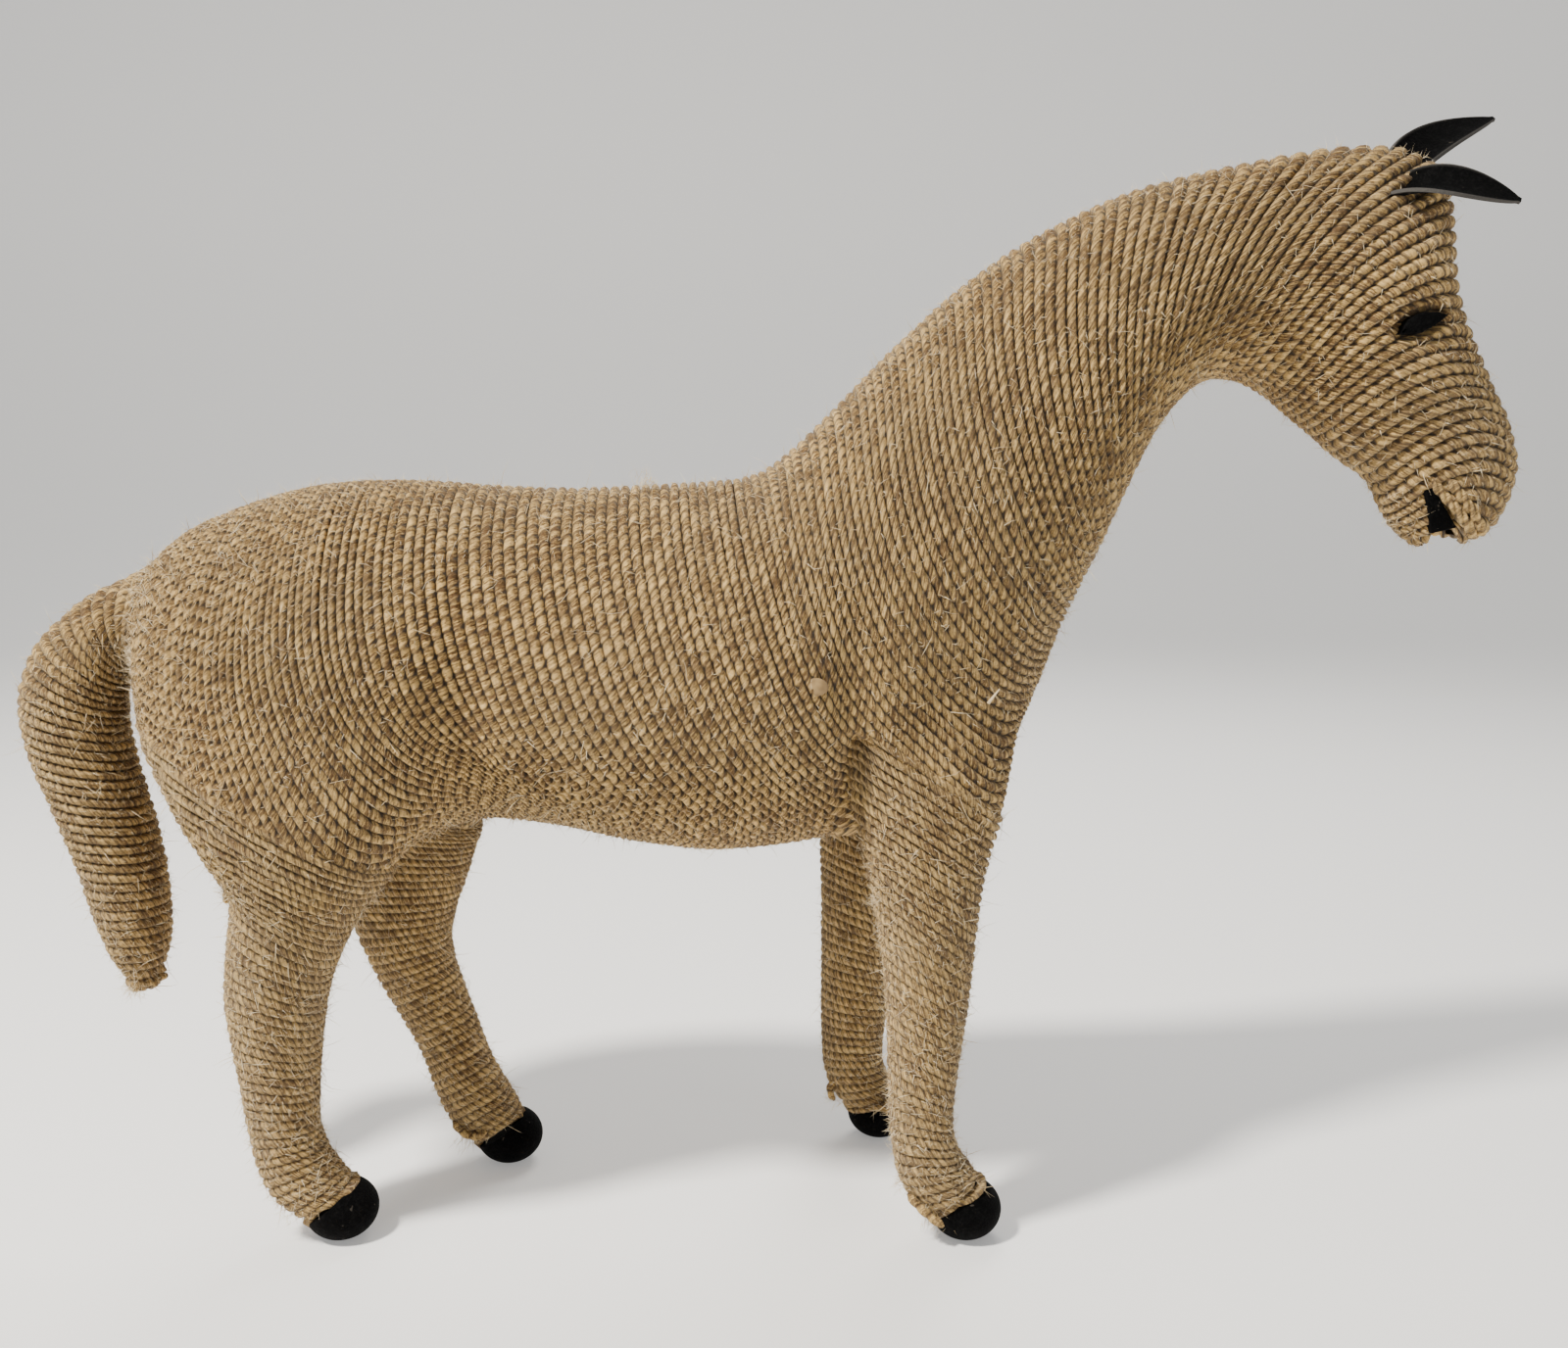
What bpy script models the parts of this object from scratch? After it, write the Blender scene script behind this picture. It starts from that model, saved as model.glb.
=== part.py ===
"""A standing horse figure wound all over with jute cord, with black felt ears, eyes, mouth and hooves.

Metres, +Z up. +X runs from the tail to the muzzle and +Y is the horse's left side. The origin is
on the floor, under the middle of the figure. The free form is given as sections in shares of the
figure's length, and everything that is let into it takes its place from the same values.
"""

import math

import bmesh
import bpy
from mathutils import Matrix, Vector

FIGURE_LENGTH = 0.6045
SHARE = FIGURE_LENGTH / 604.5
CLEARANCE = 0.0003
FELT_THICKNESS = 0.0015

# Sections of the trunk, neck and head from the rump to the muzzle, seen from the side.
# Each row: top x, top z, bottom x, bottom z, half width, how much wider above than below.
TRUNK = (
    (-250.5, 248, -252.5, 208, 15, 0.0),
    (-246, 264.5, -250, 186.5, 31, 0.0),
    (-234.5, 278, -241, 166, 45, 0.0),
    (-210.5, 288.5, -221, 152, 55, 0.0),
    (-182, 296.5, -191.5, 147, 60, 0.0),
    (-148, 298.5, -153, 154, 61, -0.04),
    (-114, 295.5, -117, 162.5, 57, -0.08),
    (-79.5, 294.5, -74.5, 154, 61, -0.10),
    (-45, 296.5, -32, 147.5, 65, -0.10),
    (-15, 298.5, 6, 150, 64, -0.08),
    (2, 309, 38, 157.5, 60, -0.08),
    (20, 326.5, 72.5, 168, 54, -0.10),
    (43.5, 351, 96, 196, 48, -0.12),
    (70.5, 375, 112.5, 239, 41, -0.15),
    (101.5, 395.5, 129, 271.5, 36.5, -0.15),
    (136, 411.5, 144.5, 308, 33, -0.12),
    (168.5, 420, 158, 328.5, 31.5, -0.08),
    (199.5, 426.5, 170.5, 337.5, 31.5, -0.06),
    (228, 430.5, 182, 337.5, 33, -0.05),
    (250, 429, 194.5, 332.5, 33.5, -0.02),
    (266.5, 409, 203.5, 324.5, 33, 0.05),
    (270, 374, 214, 316.5, 31, 0.08),
    (285.5, 342, 225.5, 306.5, 27, 0.05),
    (297.5, 320, 240.5, 297, 23.5, 0.0),
    (302.5, 301, 248, 285, 21, 0.0),
    (296.5, 282, 256, 272.5, 18.5, 0.0),
    (287.5, 273.5, 265.5, 268.5, 12, 0.0),
)

# Sections of each leg from inside the trunk down to the foot.
# Each row: back x, back z, front x, front z, middle y on the horse's left, half width.
LEGS = {
    "front_right": (
        (21, 210, 91.5, 199, 28, 24),
        (24, 176, 84, 167, 35, 25),
        (28.5, 146.5, 75.5, 142, 39, 22.5),
        (34, 122, 73, 116.5, 41, 20),
        (36.6, 97.5, 71, 95, 42.5, 18),
        (37.2, 73.5, 66.8, 72.5, 44, 16.5),
        (37.5, 54, 64.2, 55, 45, 15),
        (37.6, 40.5, 63.6, 42, 46, 14.5),
        (39.8, 25.5, 67.8, 33.5, 46, 14.8),
        (45.5, 16, 73.5, 27.5, 46, 14.8),
        (52.5, 10.5, 78, 22, 46, 14.3),
        (60, 6, 83, 14, 46, 13.5),
    ),
    "front_left": (
        (16.5, 213, 89.5, 202.5, 28, 24),
        (16, 177, 78.5, 168.5, 35, 25),
        (17.5, 146, 66, 141.5, 39, 22.5),
        (18.7, 120.5, 59.5, 114.5, 41, 20),
        (19, 95, 56, 92, 42.5, 18),
        (19, 69, 52, 68, 44, 16.5),
        (18.7, 48.5, 48.6, 49.5, 45, 15),
        (18.7, 34.5, 47.6, 38, 46, 14.5),
        (21.5, 23.5, 50, 28.5, 46, 14.8),
        (27, 16.5, 54.5, 24.5, 46, 14.8),
        (34, 13, 60, 20.5, 46, 14.3),
        (42, 9, 65, 13, 46, 13.5),
    ),
    "hind_right": (
        (-240, 232, -152, 231, 26, 29),
        (-237, 193, -142, 187, 31, 33),
        (-226.5, 164, -142, 166, 34, 31),
        (-213.5, 142, -156.5, 145, 34.5, 26.5),
        (-217, 119, -169, 123, 34, 22.5),
        (-219, 101, -177.5, 103, 33.5, 20),
        (-217, 82, -181, 83, 33, 17.5),
        (-214, 62, -183.5, 62, 32, 15.5),
        (-213, 45, -184.5, 45, 31.5, 14.5),
        (-211, 30, -182, 35.5, 31, 14.8),
        (-205, 17, -176, 27.5, 31, 14.8),
        (-197.5, 10, -169.5, 20.5, 31, 14.3),
        (-187, 5.5, -161, 11, 31, 13.5),
    ),
    "hind_left": (
        (-236, 234, -150, 234, 26, 29),
        (-228, 195, -126, 189, 31, 33),
        (-212, 165, -124.5, 166, 34, 30),
        (-198, 141.5, -130, 140.5, 34.5, 25.5),
        (-190.5, 121, -137.5, 120, 34, 22.5),
        (-182, 99.5, -143, 105.5, 33.5, 20),
        (-175, 82, -142, 94, 33, 17.5),
        (-166, 66.5, -136.5, 78.5, 32, 15.5),
        (-157.5, 51.5, -131, 62.5, 31.5, 14.5),
        (-153.5, 37, -125.5, 45.5, 31, 14.5),
        (-149, 24, -118, 33.5, 31, 14.8),
        (-142, 13, -112.5, 22.5, 31, 14.8),
        (-132, 6.5, -105, 12, 31, 13.5),
    ),
}

# Sections of the tail from inside the rump to its blunt tip, rows as for a leg.
TAIL = (
    (-244, 234, -232.5, 269, 0, 16),
    (-256, 228.5, -249.5, 263.5, 0, 18),
    (-258, 227.5, -269.5, 256.5, 0, 17),
    (-260, 220.5, -283.5, 246, 0, 18),
    (-262, 212, -297.5, 231.5, 0, 20),
    (-262, 198.5, -303.5, 209.5, 0, 21.5),
    (-258.5, 181, -300, 188, 0, 21.5),
    (-253, 161.5, -291, 165, 0, 20.5),
    (-249, 140, -283, 140.5, 0, 18.5),
    (-248, 118.5, -278, 117, 0, 16.5),
    (-250, 104, -272, 101.5, 0, 13),
    (-256.5, 93.5, -266, 92.5, 0, 6),
)

# The hoof is an ellipsoid, cut flat at the floor and along the slanting seat where the cord ends.
# Each row: middle x, distance from the middle up to the seat, slope of the seat in degrees.
HOOVES = {
    "front_right": (69, 7.5, 37),
    "front_left": (46.5, 7.5, 16),
    "hind_right": (-177.5, 5.0, 39),
    "hind_left": (-119.5, 4.5, 34),
}
HOOF_HALF_LENGTH = 14.3 * SHARE
HOOF_HALF_WIDTH = 13.6 * SHARE
HOOF_HALF_HEIGHT = 12.2 * SHARE
HOOF_MIDDLE_HEIGHT = 11.2 * SHARE

# An ear is a leaf of felt, cupped about its middle line, which runs from the root over a bend to
# the tip. Each row: root, bend, tip, way across at the root, way across at the tip.
EARS = {
    "ear_right": (
        (237, -19, 406.5),
        (248, -34, 413),
        (276.5, -37, 401.5),
        (0.45, 0.75, 0.50),
        (0.10, 0.45, 0.89),
    ),
    "ear_left": (
        (254, 15, 421),
        (268, 25, 440),
        (302, 31, 449),
        (-0.62, 0.50, 0.60),
        (-0.30, 0.70, 0.65),
    ),
}
EAR_WIDTH = 20 * SHARE
EAR_ROOT_CURL = 7.5 * SHARE
EAR_CURL_GROWTH = 2.5

# Outline of the eye, from its rear corner: along the slant, and above it.
EYE_AT = (236, 352.9)
EYE_TILT = math.radians(21.0)
EYE_OUTLINE = (
    (0, 0),
    (2.9, -0.9),
    (8.4, -2.6),
    (13, -1.9),
    (17.6, -0.8),
    (20.4, 0.1),
    (16.9, 2.6),
    (11.8, 4.5),
    (8.6, 4.7),
    (4.6, 3.9),
)
EYE_MARGIN = 2 * CLEARANCE
EYE_POCKET_DEPTH = 8 * SHARE
EYE_PAD_SINK = 1.5 * SHARE
EYE_REACH = 45 * SHARE

# The mouth is a wedge-shaped notch between upper lip and chin, with a lining deep inside.
MOUTH_APEX = (258.0, 292.5)
MOUTH_DIRECTION = math.radians(-62.0)
MOUTH_DEPTH = 30 * SHARE
MOUTH_APEX_OPENING = 1.2 * SHARE
MOUTH_OPENING = 14.5 * SHARE
MOUTH_LINING_DEPTH = 17.5 * SHARE
MOUTH_LINING_WIDTH = 29 * SHARE
MOUTH_REACH = 80 * SHARE

RING_POINTS = 32
RINGS_PER_SECTION = 4
VOXEL = 4 * SHARE
SMOOTH_PASSES = 12
DECIMATE_RATIO = 0.115
CUT_BLOCK = 46 * SHARE

JUTE = ((0.55, 0.41, 0.23), 0.9)
FELT = ((0.012, 0.011, 0.011), 0.95)


def clear_scene():
    for thing in list(bpy.data.objects):
        bpy.data.objects.remove(thing, do_unlink=True)


def new_collection(name):
    group = bpy.data.collections.new(name)
    bpy.context.scene.collection.children.link(group)
    return group


def new_material(name, finish):
    colour, roughness = finish
    material = bpy.data.materials.new(name)
    material.use_nodes = True
    shader = material.node_tree.nodes["Principled BSDF"]
    shader.inputs["Base Color"].default_value = (*colour, 1.0)
    shader.inputs["Roughness"].default_value = roughness
    shader.inputs["Metallic"].default_value = 0.0
    return material


def new_object(name, bm, group, material=None):
    mesh = bpy.data.meshes.new(name)
    bmesh.ops.recalc_face_normals(bm, faces=bm.faces)
    bm.to_mesh(mesh)
    bm.free()
    thing = bpy.data.objects.new(name, mesh)
    group.objects.link(thing)
    if material:
        mesh.materials.append(material)
        mesh.shade_smooth()
        mesh.set_sharp_from_angle(angle=math.radians(40.0))
    else:
        thing.display_type = "WIRE"
        thing.hide_render = True
    return thing


def between(a, b, c, d, t):
    """Catmull-Rom value between b and c."""
    return 0.5 * (
        2 * b
        + (c - a) * t
        + (2 * a - 5 * b + 4 * c - d) * t * t
        + (3 * b - a - 3 * c + d) * t * t * t
    )


def refine(rows, steps):
    """The rows with smooth in-between rows added, so that a loft through them has no corners."""
    fine = []
    last = len(rows) - 1
    for i in range(last):
        a, b, c, d = rows[max(i - 1, 0)], rows[i], rows[i + 1], rows[min(i + 2, last)]
        for step in range(steps):
            fine.append([between(*values, step / steps) for values in zip(a, b, c, d)])
    fine.append(list(rows[last]))
    return fine


def oval(low, high, half_width, wider_above):
    """One section: an oval that spans low to high in the XZ plane, and half_width to each side."""
    middle = (low + high) / 2
    rise = (high - low) / 2
    ring = []
    for k in range(RING_POINTS):
        turn = 2 * math.pi * k / RING_POINTS
        side = half_width * math.sin(turn) * (1 + wider_above * math.cos(turn))
        ring.append(middle + rise * math.cos(turn) + Vector((0, side, 0)))
    return ring


def loft(bm, rings):
    """Joins like rings of points by quads and closes both ends."""
    loops = [[bm.verts.new(point) for point in ring] for ring in rings]
    for first, second in zip(loops, loops[1:]):
        for k in range(RING_POINTS):
            after = (k + 1) % RING_POINTS
            bm.faces.new((first[k], first[after], second[after], second[k]))
    bm.faces.new(loops[0])
    bm.faces.new(reversed(loops[-1]))


def trunk_rings():
    for top_x, top_z, low_x, low_z, half_width, wider_above in refine(TRUNK, RINGS_PER_SECTION):
        top = Vector((top_x, 0, top_z)) * SHARE
        low = Vector((low_x, 0, low_z)) * SHARE
        yield oval(low, top, half_width * SHARE, wider_above)


def limb_rings(rows, side):
    for back_x, back_z, front_x, front_z, middle_y, half_width in refine(rows, RINGS_PER_SECTION):
        back = Vector((back_x, side * middle_y, back_z)) * SHARE
        front = Vector((front_x, side * middle_y, front_z)) * SHARE
        yield oval(back, front, half_width * SHARE, 0.0)


def side_of(name):
    """+1 for a piece on the horse's left, -1 on its right."""
    return 1 if name.endswith("left") else -1


def wound_body(group, material):
    """Trunk, neck, head, legs and tail as lofts, fused into one smooth closed form."""
    bm = bmesh.new()
    loft(bm, list(trunk_rings()))
    for name, rows in LEGS.items():
        loft(bm, list(limb_rings(rows, side_of(name))))
    loft(bm, list(limb_rings(TAIL, 1)))
    body = new_object("wound_body", bm, group, material)
    remesh = body.modifiers.new("fuse", "REMESH")
    remesh.mode = "VOXEL"
    remesh.voxel_size = VOXEL
    smooth = body.modifiers.new("round", "SMOOTH")
    smooth.factor = 0.5
    smooth.iterations = SMOOTH_PASSES
    decimate = body.modifiers.new("lighten", "DECIMATE")
    decimate.ratio = DECIMATE_RATIO
    return body


def cut(body, cutter):
    boolean = body.modifiers.new("cut " + cutter.name, "BOOLEAN")
    boolean.operation = "DIFFERENCE"
    boolean.solver = "EXACT"
    boolean.object = cutter


def seat_slope(name):
    return math.radians(HOOVES[name][2])


def seat_normal(name):
    """Points from the leg into the hoof, forwards and down."""
    return Vector((math.sin(seat_slope(name)), 0, -math.cos(seat_slope(name))))


def hoof_middle(name):
    middle_y = LEGS[name][-1][4] * side_of(name)
    return Vector((HOOVES[name][0] * SHARE, middle_y * SHARE, HOOF_MIDDLE_HEIGHT))


def seat_point(name):
    """The middle of the slanting face where a leg's cord ends and its hoof begins."""
    return hoof_middle(name) - seat_normal(name) * HOOVES[name][1] * SHARE


def slice_off(bm, point, normal):
    """Cuts away what lies beyond a plane and closes the cut."""
    shape = bm.verts[:] + bm.edges[:] + bm.faces[:]
    done = bmesh.ops.bisect_plane(
        bm, geom=shape, plane_co=point, plane_no=normal, clear_outer=True
    )
    rim = [part for part in done["geom_cut"] if isinstance(part, bmesh.types.BMEdge)]
    bmesh.ops.contextual_create(bm, geom=rim)


def hoof(name, group, material):
    bm = bmesh.new()
    bmesh.ops.create_uvsphere(bm, u_segments=20, v_segments=12, radius=1.0)
    bmesh.ops.scale(
        bm, vec=(HOOF_HALF_LENGTH, HOOF_HALF_WIDTH, HOOF_HALF_HEIGHT), verts=bm.verts
    )
    bmesh.ops.translate(bm, vec=hoof_middle(name), verts=bm.verts)
    slice_off(bm, Vector((0, 0, 0)), Vector((0, 0, -1)))
    slice_off(bm, seat_point(name), -seat_normal(name))
    return new_object("hoof_" + name, bm, group, material)


def hoof_cutter(name, group):
    """A block below a leg's seat, which ends the leg just clear of its hoof."""
    bm = bmesh.new()
    bmesh.ops.create_cube(bm, size=1.0)
    bmesh.ops.scale(bm, vec=(CUT_BLOCK, CUT_BLOCK, CUT_BLOCK), verts=bm.verts)
    bmesh.ops.translate(bm, vec=(0, 0, -CUT_BLOCK / 2), verts=bm.verts)
    turn = Matrix.Rotation(-seat_slope(name), 3, "Y")
    bmesh.ops.rotate(bm, matrix=turn, verts=bm.verts)
    place = seat_point(name) - seat_normal(name) * CLEARANCE
    bmesh.ops.translate(bm, vec=place, verts=bm.verts)
    return new_object("seat_" + name, bm, group)


def ear_point(name, along, across, margin):
    """A point of the cupped leaf: along from root 0 to tip 1, across from edge -1 to edge 1."""
    root, bend, tip, root_way, tip_way = (Vector(values) for values in EARS[name])
    centre = root * (1 - along) ** 2 + bend * 2 * along * (1 - along) + tip * along**2
    forward = (bend - root) * (1 - along) + (tip - bend) * along
    forward.normalize()
    way = root_way * (1 - along) + tip_way * along
    way = (way - way.dot(forward) * forward).normalized()
    hollow = forward.cross(way)
    fullness = max(math.sin(math.pi * (0.30 + 0.70 * along)) ** 0.7, 0.10)
    half_width = EAR_WIDTH / 2 * fullness + margin
    curl = EAR_ROOT_CURL * (1 + EAR_CURL_GROWTH * along)
    angle = across * half_width / curl
    cupped = way * curl * math.sin(angle) + hollow * curl * (1 - math.cos(angle))
    return centre * SHARE + cupped + forward * margin * (2 * along - 1)


def ear_sheet(name, label, thickness, margin, group, material=None):
    """A curled leaf of felt of the given thickness, widened by margin all round."""
    bm = bmesh.new()
    bmesh.ops.create_grid(bm, x_segments=11, y_segments=7, size=1.0)
    for vert in bm.verts:
        vert.co = ear_point(name, (vert.co.x + 1) / 2, vert.co.y, margin)
    sheet = new_object(label, bm, group, material)
    solidify = sheet.modifiers.new("felt", "SOLIDIFY")
    solidify.thickness = thickness
    solidify.offset = 0.0
    return sheet


def extruded(bm, rim, offset):
    """Closes a rim of points and draws it out by an offset into a prism."""
    face = bm.faces.new(rim)
    grown = bmesh.ops.extrude_face_region(bm, geom=[face])
    raised = [part for part in grown["geom"] if isinstance(part, bmesh.types.BMVert)]
    bmesh.ops.translate(bm, vec=offset, verts=raised)


def eye_prism(name, label, margin, inner_y, outer_y, group, material=None):
    """A pad in the shape of the eye that stands across the head, from inner_y to outer_y."""
    side = side_of(name)
    middle = Vector((0.5 * EYE_OUTLINE[5][0], 0, 1.0)) * SHARE
    turn = Matrix.Rotation(-EYE_TILT, 4, "Y")
    place = Matrix.Translation((EYE_AT[0] * SHARE, side * inner_y, EYE_AT[1] * SHARE))
    bm = bmesh.new()
    rim = []
    for along, above in EYE_OUTLINE:
        point = Vector((along, 0, above)) * SHARE
        point += (point - middle).normalized() * margin
        rim.append(bm.verts.new(place @ turn @ point))
    extruded(bm, rim, Vector((0, side * (outer_y - inner_y), 0)))
    return new_object(label, bm, group, material)


def wedge_opening(depth):
    return MOUTH_APEX_OPENING + (MOUTH_OPENING - MOUTH_APEX_OPENING) * depth / MOUTH_DEPTH


def wedge(label, start, end, width, margin, group, material=None):
    """A wedge across the muzzle, from a narrow edge at its apex to its opening at the lips."""
    near, far = wedge_opening(start) / 2 - margin, wedge_opening(end) / 2 - margin
    section = [(start, near), (end, far), (end, -far), (start, -near)]
    bm = bmesh.new()
    rim = [bm.verts.new((x, -width / 2, z)) for x, z in section]
    extruded(bm, rim, Vector((0, width, 0)))
    bmesh.ops.rotate(bm, matrix=Matrix.Rotation(-MOUTH_DIRECTION, 3, "Y"), verts=bm.verts)
    apex = Vector((MOUTH_APEX[0], 0, MOUTH_APEX[1])) * SHARE
    bmesh.ops.translate(bm, vec=apex, verts=bm.verts)
    return new_object(label, bm, group, material)


def head_side_at(x, z):
    """Half width of the head where a line across it at x, z meets its side."""
    best = 0.0
    for ring in trunk_rings():
        for point in ring:
            if abs(point.x - x) < VOXEL and abs(point.z - z) < VOXEL:
                best = max(best, point.y)
    return best


def centre_over_origin(pieces, empty):
    """Moves the figure so that the middle of its bounding box stands over the origin."""
    graph = bpy.context.evaluated_depsgraph_get()
    corners = []
    for piece in pieces:
        mesh = piece.evaluated_get(graph).to_mesh()
        corners += [piece.matrix_world @ vert.co for vert in mesh.vertices]
    for axis in (0, 1):
        values = [corner[axis] for corner in corners]
        empty.location[axis] = -(min(values) + max(values)) / 2


def main():
    clear_scene()
    horse = new_collection("wound_horse")
    cutters = new_collection("cutters")
    jute = new_material("jute cord", JUTE)
    felt = new_material("black felt", FELT)
    stand = bpy.data.objects.new("horse_place", None)
    horse.objects.link(stand)

    body = wound_body(horse, jute)
    pieces = [body]
    tools = []
    for name in LEGS:
        pieces.append(hoof(name, horse, felt))
        tools.append(hoof_cutter(name, cutters))

    slot_thickness = FELT_THICKNESS + 2 * CLEARANCE
    for name in EARS:
        pieces.append(ear_sheet(name, name, FELT_THICKNESS, 0.0, horse, felt))
        tools.append(ear_sheet(name, "slot_" + name, slot_thickness, CLEARANCE * 2, cutters))

    eye_surface = head_side_at(
        (EYE_AT[0] + EYE_OUTLINE[5][0] / 2) * SHARE, (EYE_AT[1] + EYE_OUTLINE[5][0] / 5) * SHARE
    )
    pocket_floor = eye_surface - EYE_POCKET_DEPTH
    for name in ("eye_right", "eye_left"):
        inner = pocket_floor + CLEARANCE
        outer = eye_surface - EYE_PAD_SINK
        pieces.append(eye_prism(name, name, 0.0, inner, outer, horse, felt))
        pocket = "pocket_" + name
        tools.append(eye_prism(name, pocket, EYE_MARGIN, pocket_floor, EYE_REACH, cutters))

    lining_start = 3 * CLEARANCE
    tools.append(wedge("mouth_cut", 0.0, MOUTH_DEPTH, MOUTH_REACH, 0.0, cutters))
    pieces.append(
        wedge(
            "mouth_lining",
            lining_start,
            MOUTH_LINING_DEPTH,
            MOUTH_LINING_WIDTH,
            CLEARANCE,
            horse,
            felt,
        )
    )

    for tool in tools:
        cut(body, tool)
    for thing in pieces + tools:
        thing.parent = stand
    centre_over_origin(pieces, stand)


main()
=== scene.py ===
import math

import bmesh
import bpy
import numpy as np
from mathutils import Matrix, Vector
from mathutils.bvhtree import BVHTree


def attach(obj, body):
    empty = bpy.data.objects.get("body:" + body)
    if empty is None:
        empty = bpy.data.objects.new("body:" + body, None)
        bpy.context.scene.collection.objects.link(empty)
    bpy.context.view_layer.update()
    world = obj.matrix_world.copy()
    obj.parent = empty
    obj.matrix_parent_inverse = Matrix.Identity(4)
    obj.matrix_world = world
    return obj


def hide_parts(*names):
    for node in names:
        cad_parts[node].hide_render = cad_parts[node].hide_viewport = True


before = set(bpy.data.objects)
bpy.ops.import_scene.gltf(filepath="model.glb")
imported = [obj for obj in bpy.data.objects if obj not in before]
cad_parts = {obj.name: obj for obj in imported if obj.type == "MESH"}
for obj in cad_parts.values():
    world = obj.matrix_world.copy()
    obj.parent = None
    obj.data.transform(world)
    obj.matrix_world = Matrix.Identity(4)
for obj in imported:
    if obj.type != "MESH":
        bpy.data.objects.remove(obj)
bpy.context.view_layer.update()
SEED = 7
MM = 0.001

# The cord is three strands twisted together, each touching the other two. A lay is the length
# of one full twist, and a slant is how much the strands lean across the cord.
STRANDS = 3
CORD_RADIUS = 2.15 * MM
STRAND_RADIUS = CORD_RADIUS / (1 + 2 / math.sqrt(3))
STRAND_OFFSET = CORD_RADIUS - STRAND_RADIUS
LAY = 16.2 * MM
LIMB_LAY = 10.2 * MM
STRAND_SLANT = 0.7
LIMB_SLANT = 0.62

# Rows of faces to a winding, its usual width, height of its crown over the body, depth of the valley
# between windings, the heights between which a limb's shallow valley grows to the trunk's, and
# how deep the ends are tucked in.
ROWS = 5
USUAL_WIDTH = 4.0 * MM
CREST = 0.5 * MM
VALLEY_SINK = 2.4 * MM
LIMB_VALLEY_SINK = 1.15 * MM
VALLEY_GROWS = (0.10, 0.18)
TRUNK_TUCK = 0.5 * MM
END_TUCK = 4.0 * MM

# Across the cord, the map counts windings. Each piece starts its count this much further on, and
# the short cords have a place of their own.
MAP_STEP = 200
SHORT_CORD_MAP = 3000

# How far the twist wanders from turn to turn, how far a winding strays up and sideways, and how
# many random numbers to a turn the straying is smoothed from.
TWIST_WANDER = 3.3 * MM
STRAY_UP = 0.22 * MM
STRAY_SIDEWAYS = 0.45 * MM
STRAY_STEPS = 24

# How deep windings sink where a leg's overlap the trunk's, and how far out in mm that is sought.
OVERLAP_SINK = 6.5 * MM
LEG_MARGIN = 14

# Spacing of the windings in mm: at the rump, then how much it grows from which part of the
# trunk's length to which, and on the limbs. Then the columns of faces round each limb.
PITCH_AT_RUMP = 2.95
PITCH_GROWS = ((1.2, 0.20, 0.27), (0.55, 0.62, 0.72), (0.4, 0.76, 0.84))
LEG_PITCH = 3.7
TAIL_PITCH = 4.0
LEG_COLUMNS = 84
TAIL_COLUMNS = 80

# Profile of the trunk from rump to lips: top x, top z, low x, low z, half width, how much
# wider the section is above its middle. Millimetres.
TRUNK = (
    (-251.5, 234, -252.5, 226, 4, 0),
    (-250.5, 248, -252.5, 208, 15, 0),
    (-246, 264.5, -250, 186.5, 31, 0),
    (-234.5, 278, -241, 166, 45, 0),
    (-210.5, 288.5, -221, 152, 55, 0),
    (-182, 296.5, -191.5, 147, 60, 0),
    (-148, 298.5, -153, 154, 61, -0.04),
    (-114, 295.5, -117, 162.5, 57, -0.08),
    (-79.5, 294.5, -74.5, 154, 61, -0.10),
    (-45, 296.5, -32, 147.5, 65, -0.10),
    (-15, 298.5, 6, 150, 64, -0.08),
    (2, 309, 38, 157.5, 60, -0.08),
    (20, 326.5, 72.5, 168, 54, -0.10),
    (43.5, 351, 96, 196, 48, -0.12),
    (70.5, 375, 112.5, 239, 41, -0.15),
    (101.5, 395.5, 129, 271.5, 36.5, -0.15),
    (136, 411.5, 144.5, 308, 33, -0.12),
    (168.5, 420, 158, 328.5, 31.5, -0.08),
    (199.5, 426.5, 170.5, 337.5, 31.5, -0.06),
    (228, 430.5, 182, 337.5, 33, -0.05),
    (250, 429, 194.5, 332.5, 33.5, -0.02),
    (266.5, 409, 203.5, 324.5, 33, 0.05),
    (270, 374, 214, 316.5, 31, 0.08),
    (285.5, 342, 225.5, 306.5, 27, 0.05),
    (297.5, 320, 239.5, 297.5, 23.5, 0),
    (302.5, 301, 246.0, 286, 21.5, 0),
    (297.0, 282.5, 252.5, 276.5, 19.2, 0),
    (289.0, 274.5, 260.5, 271.5, 14.0, 0),
    (280, 271.0, 271, 270.5, 4, 0),
)

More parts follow.
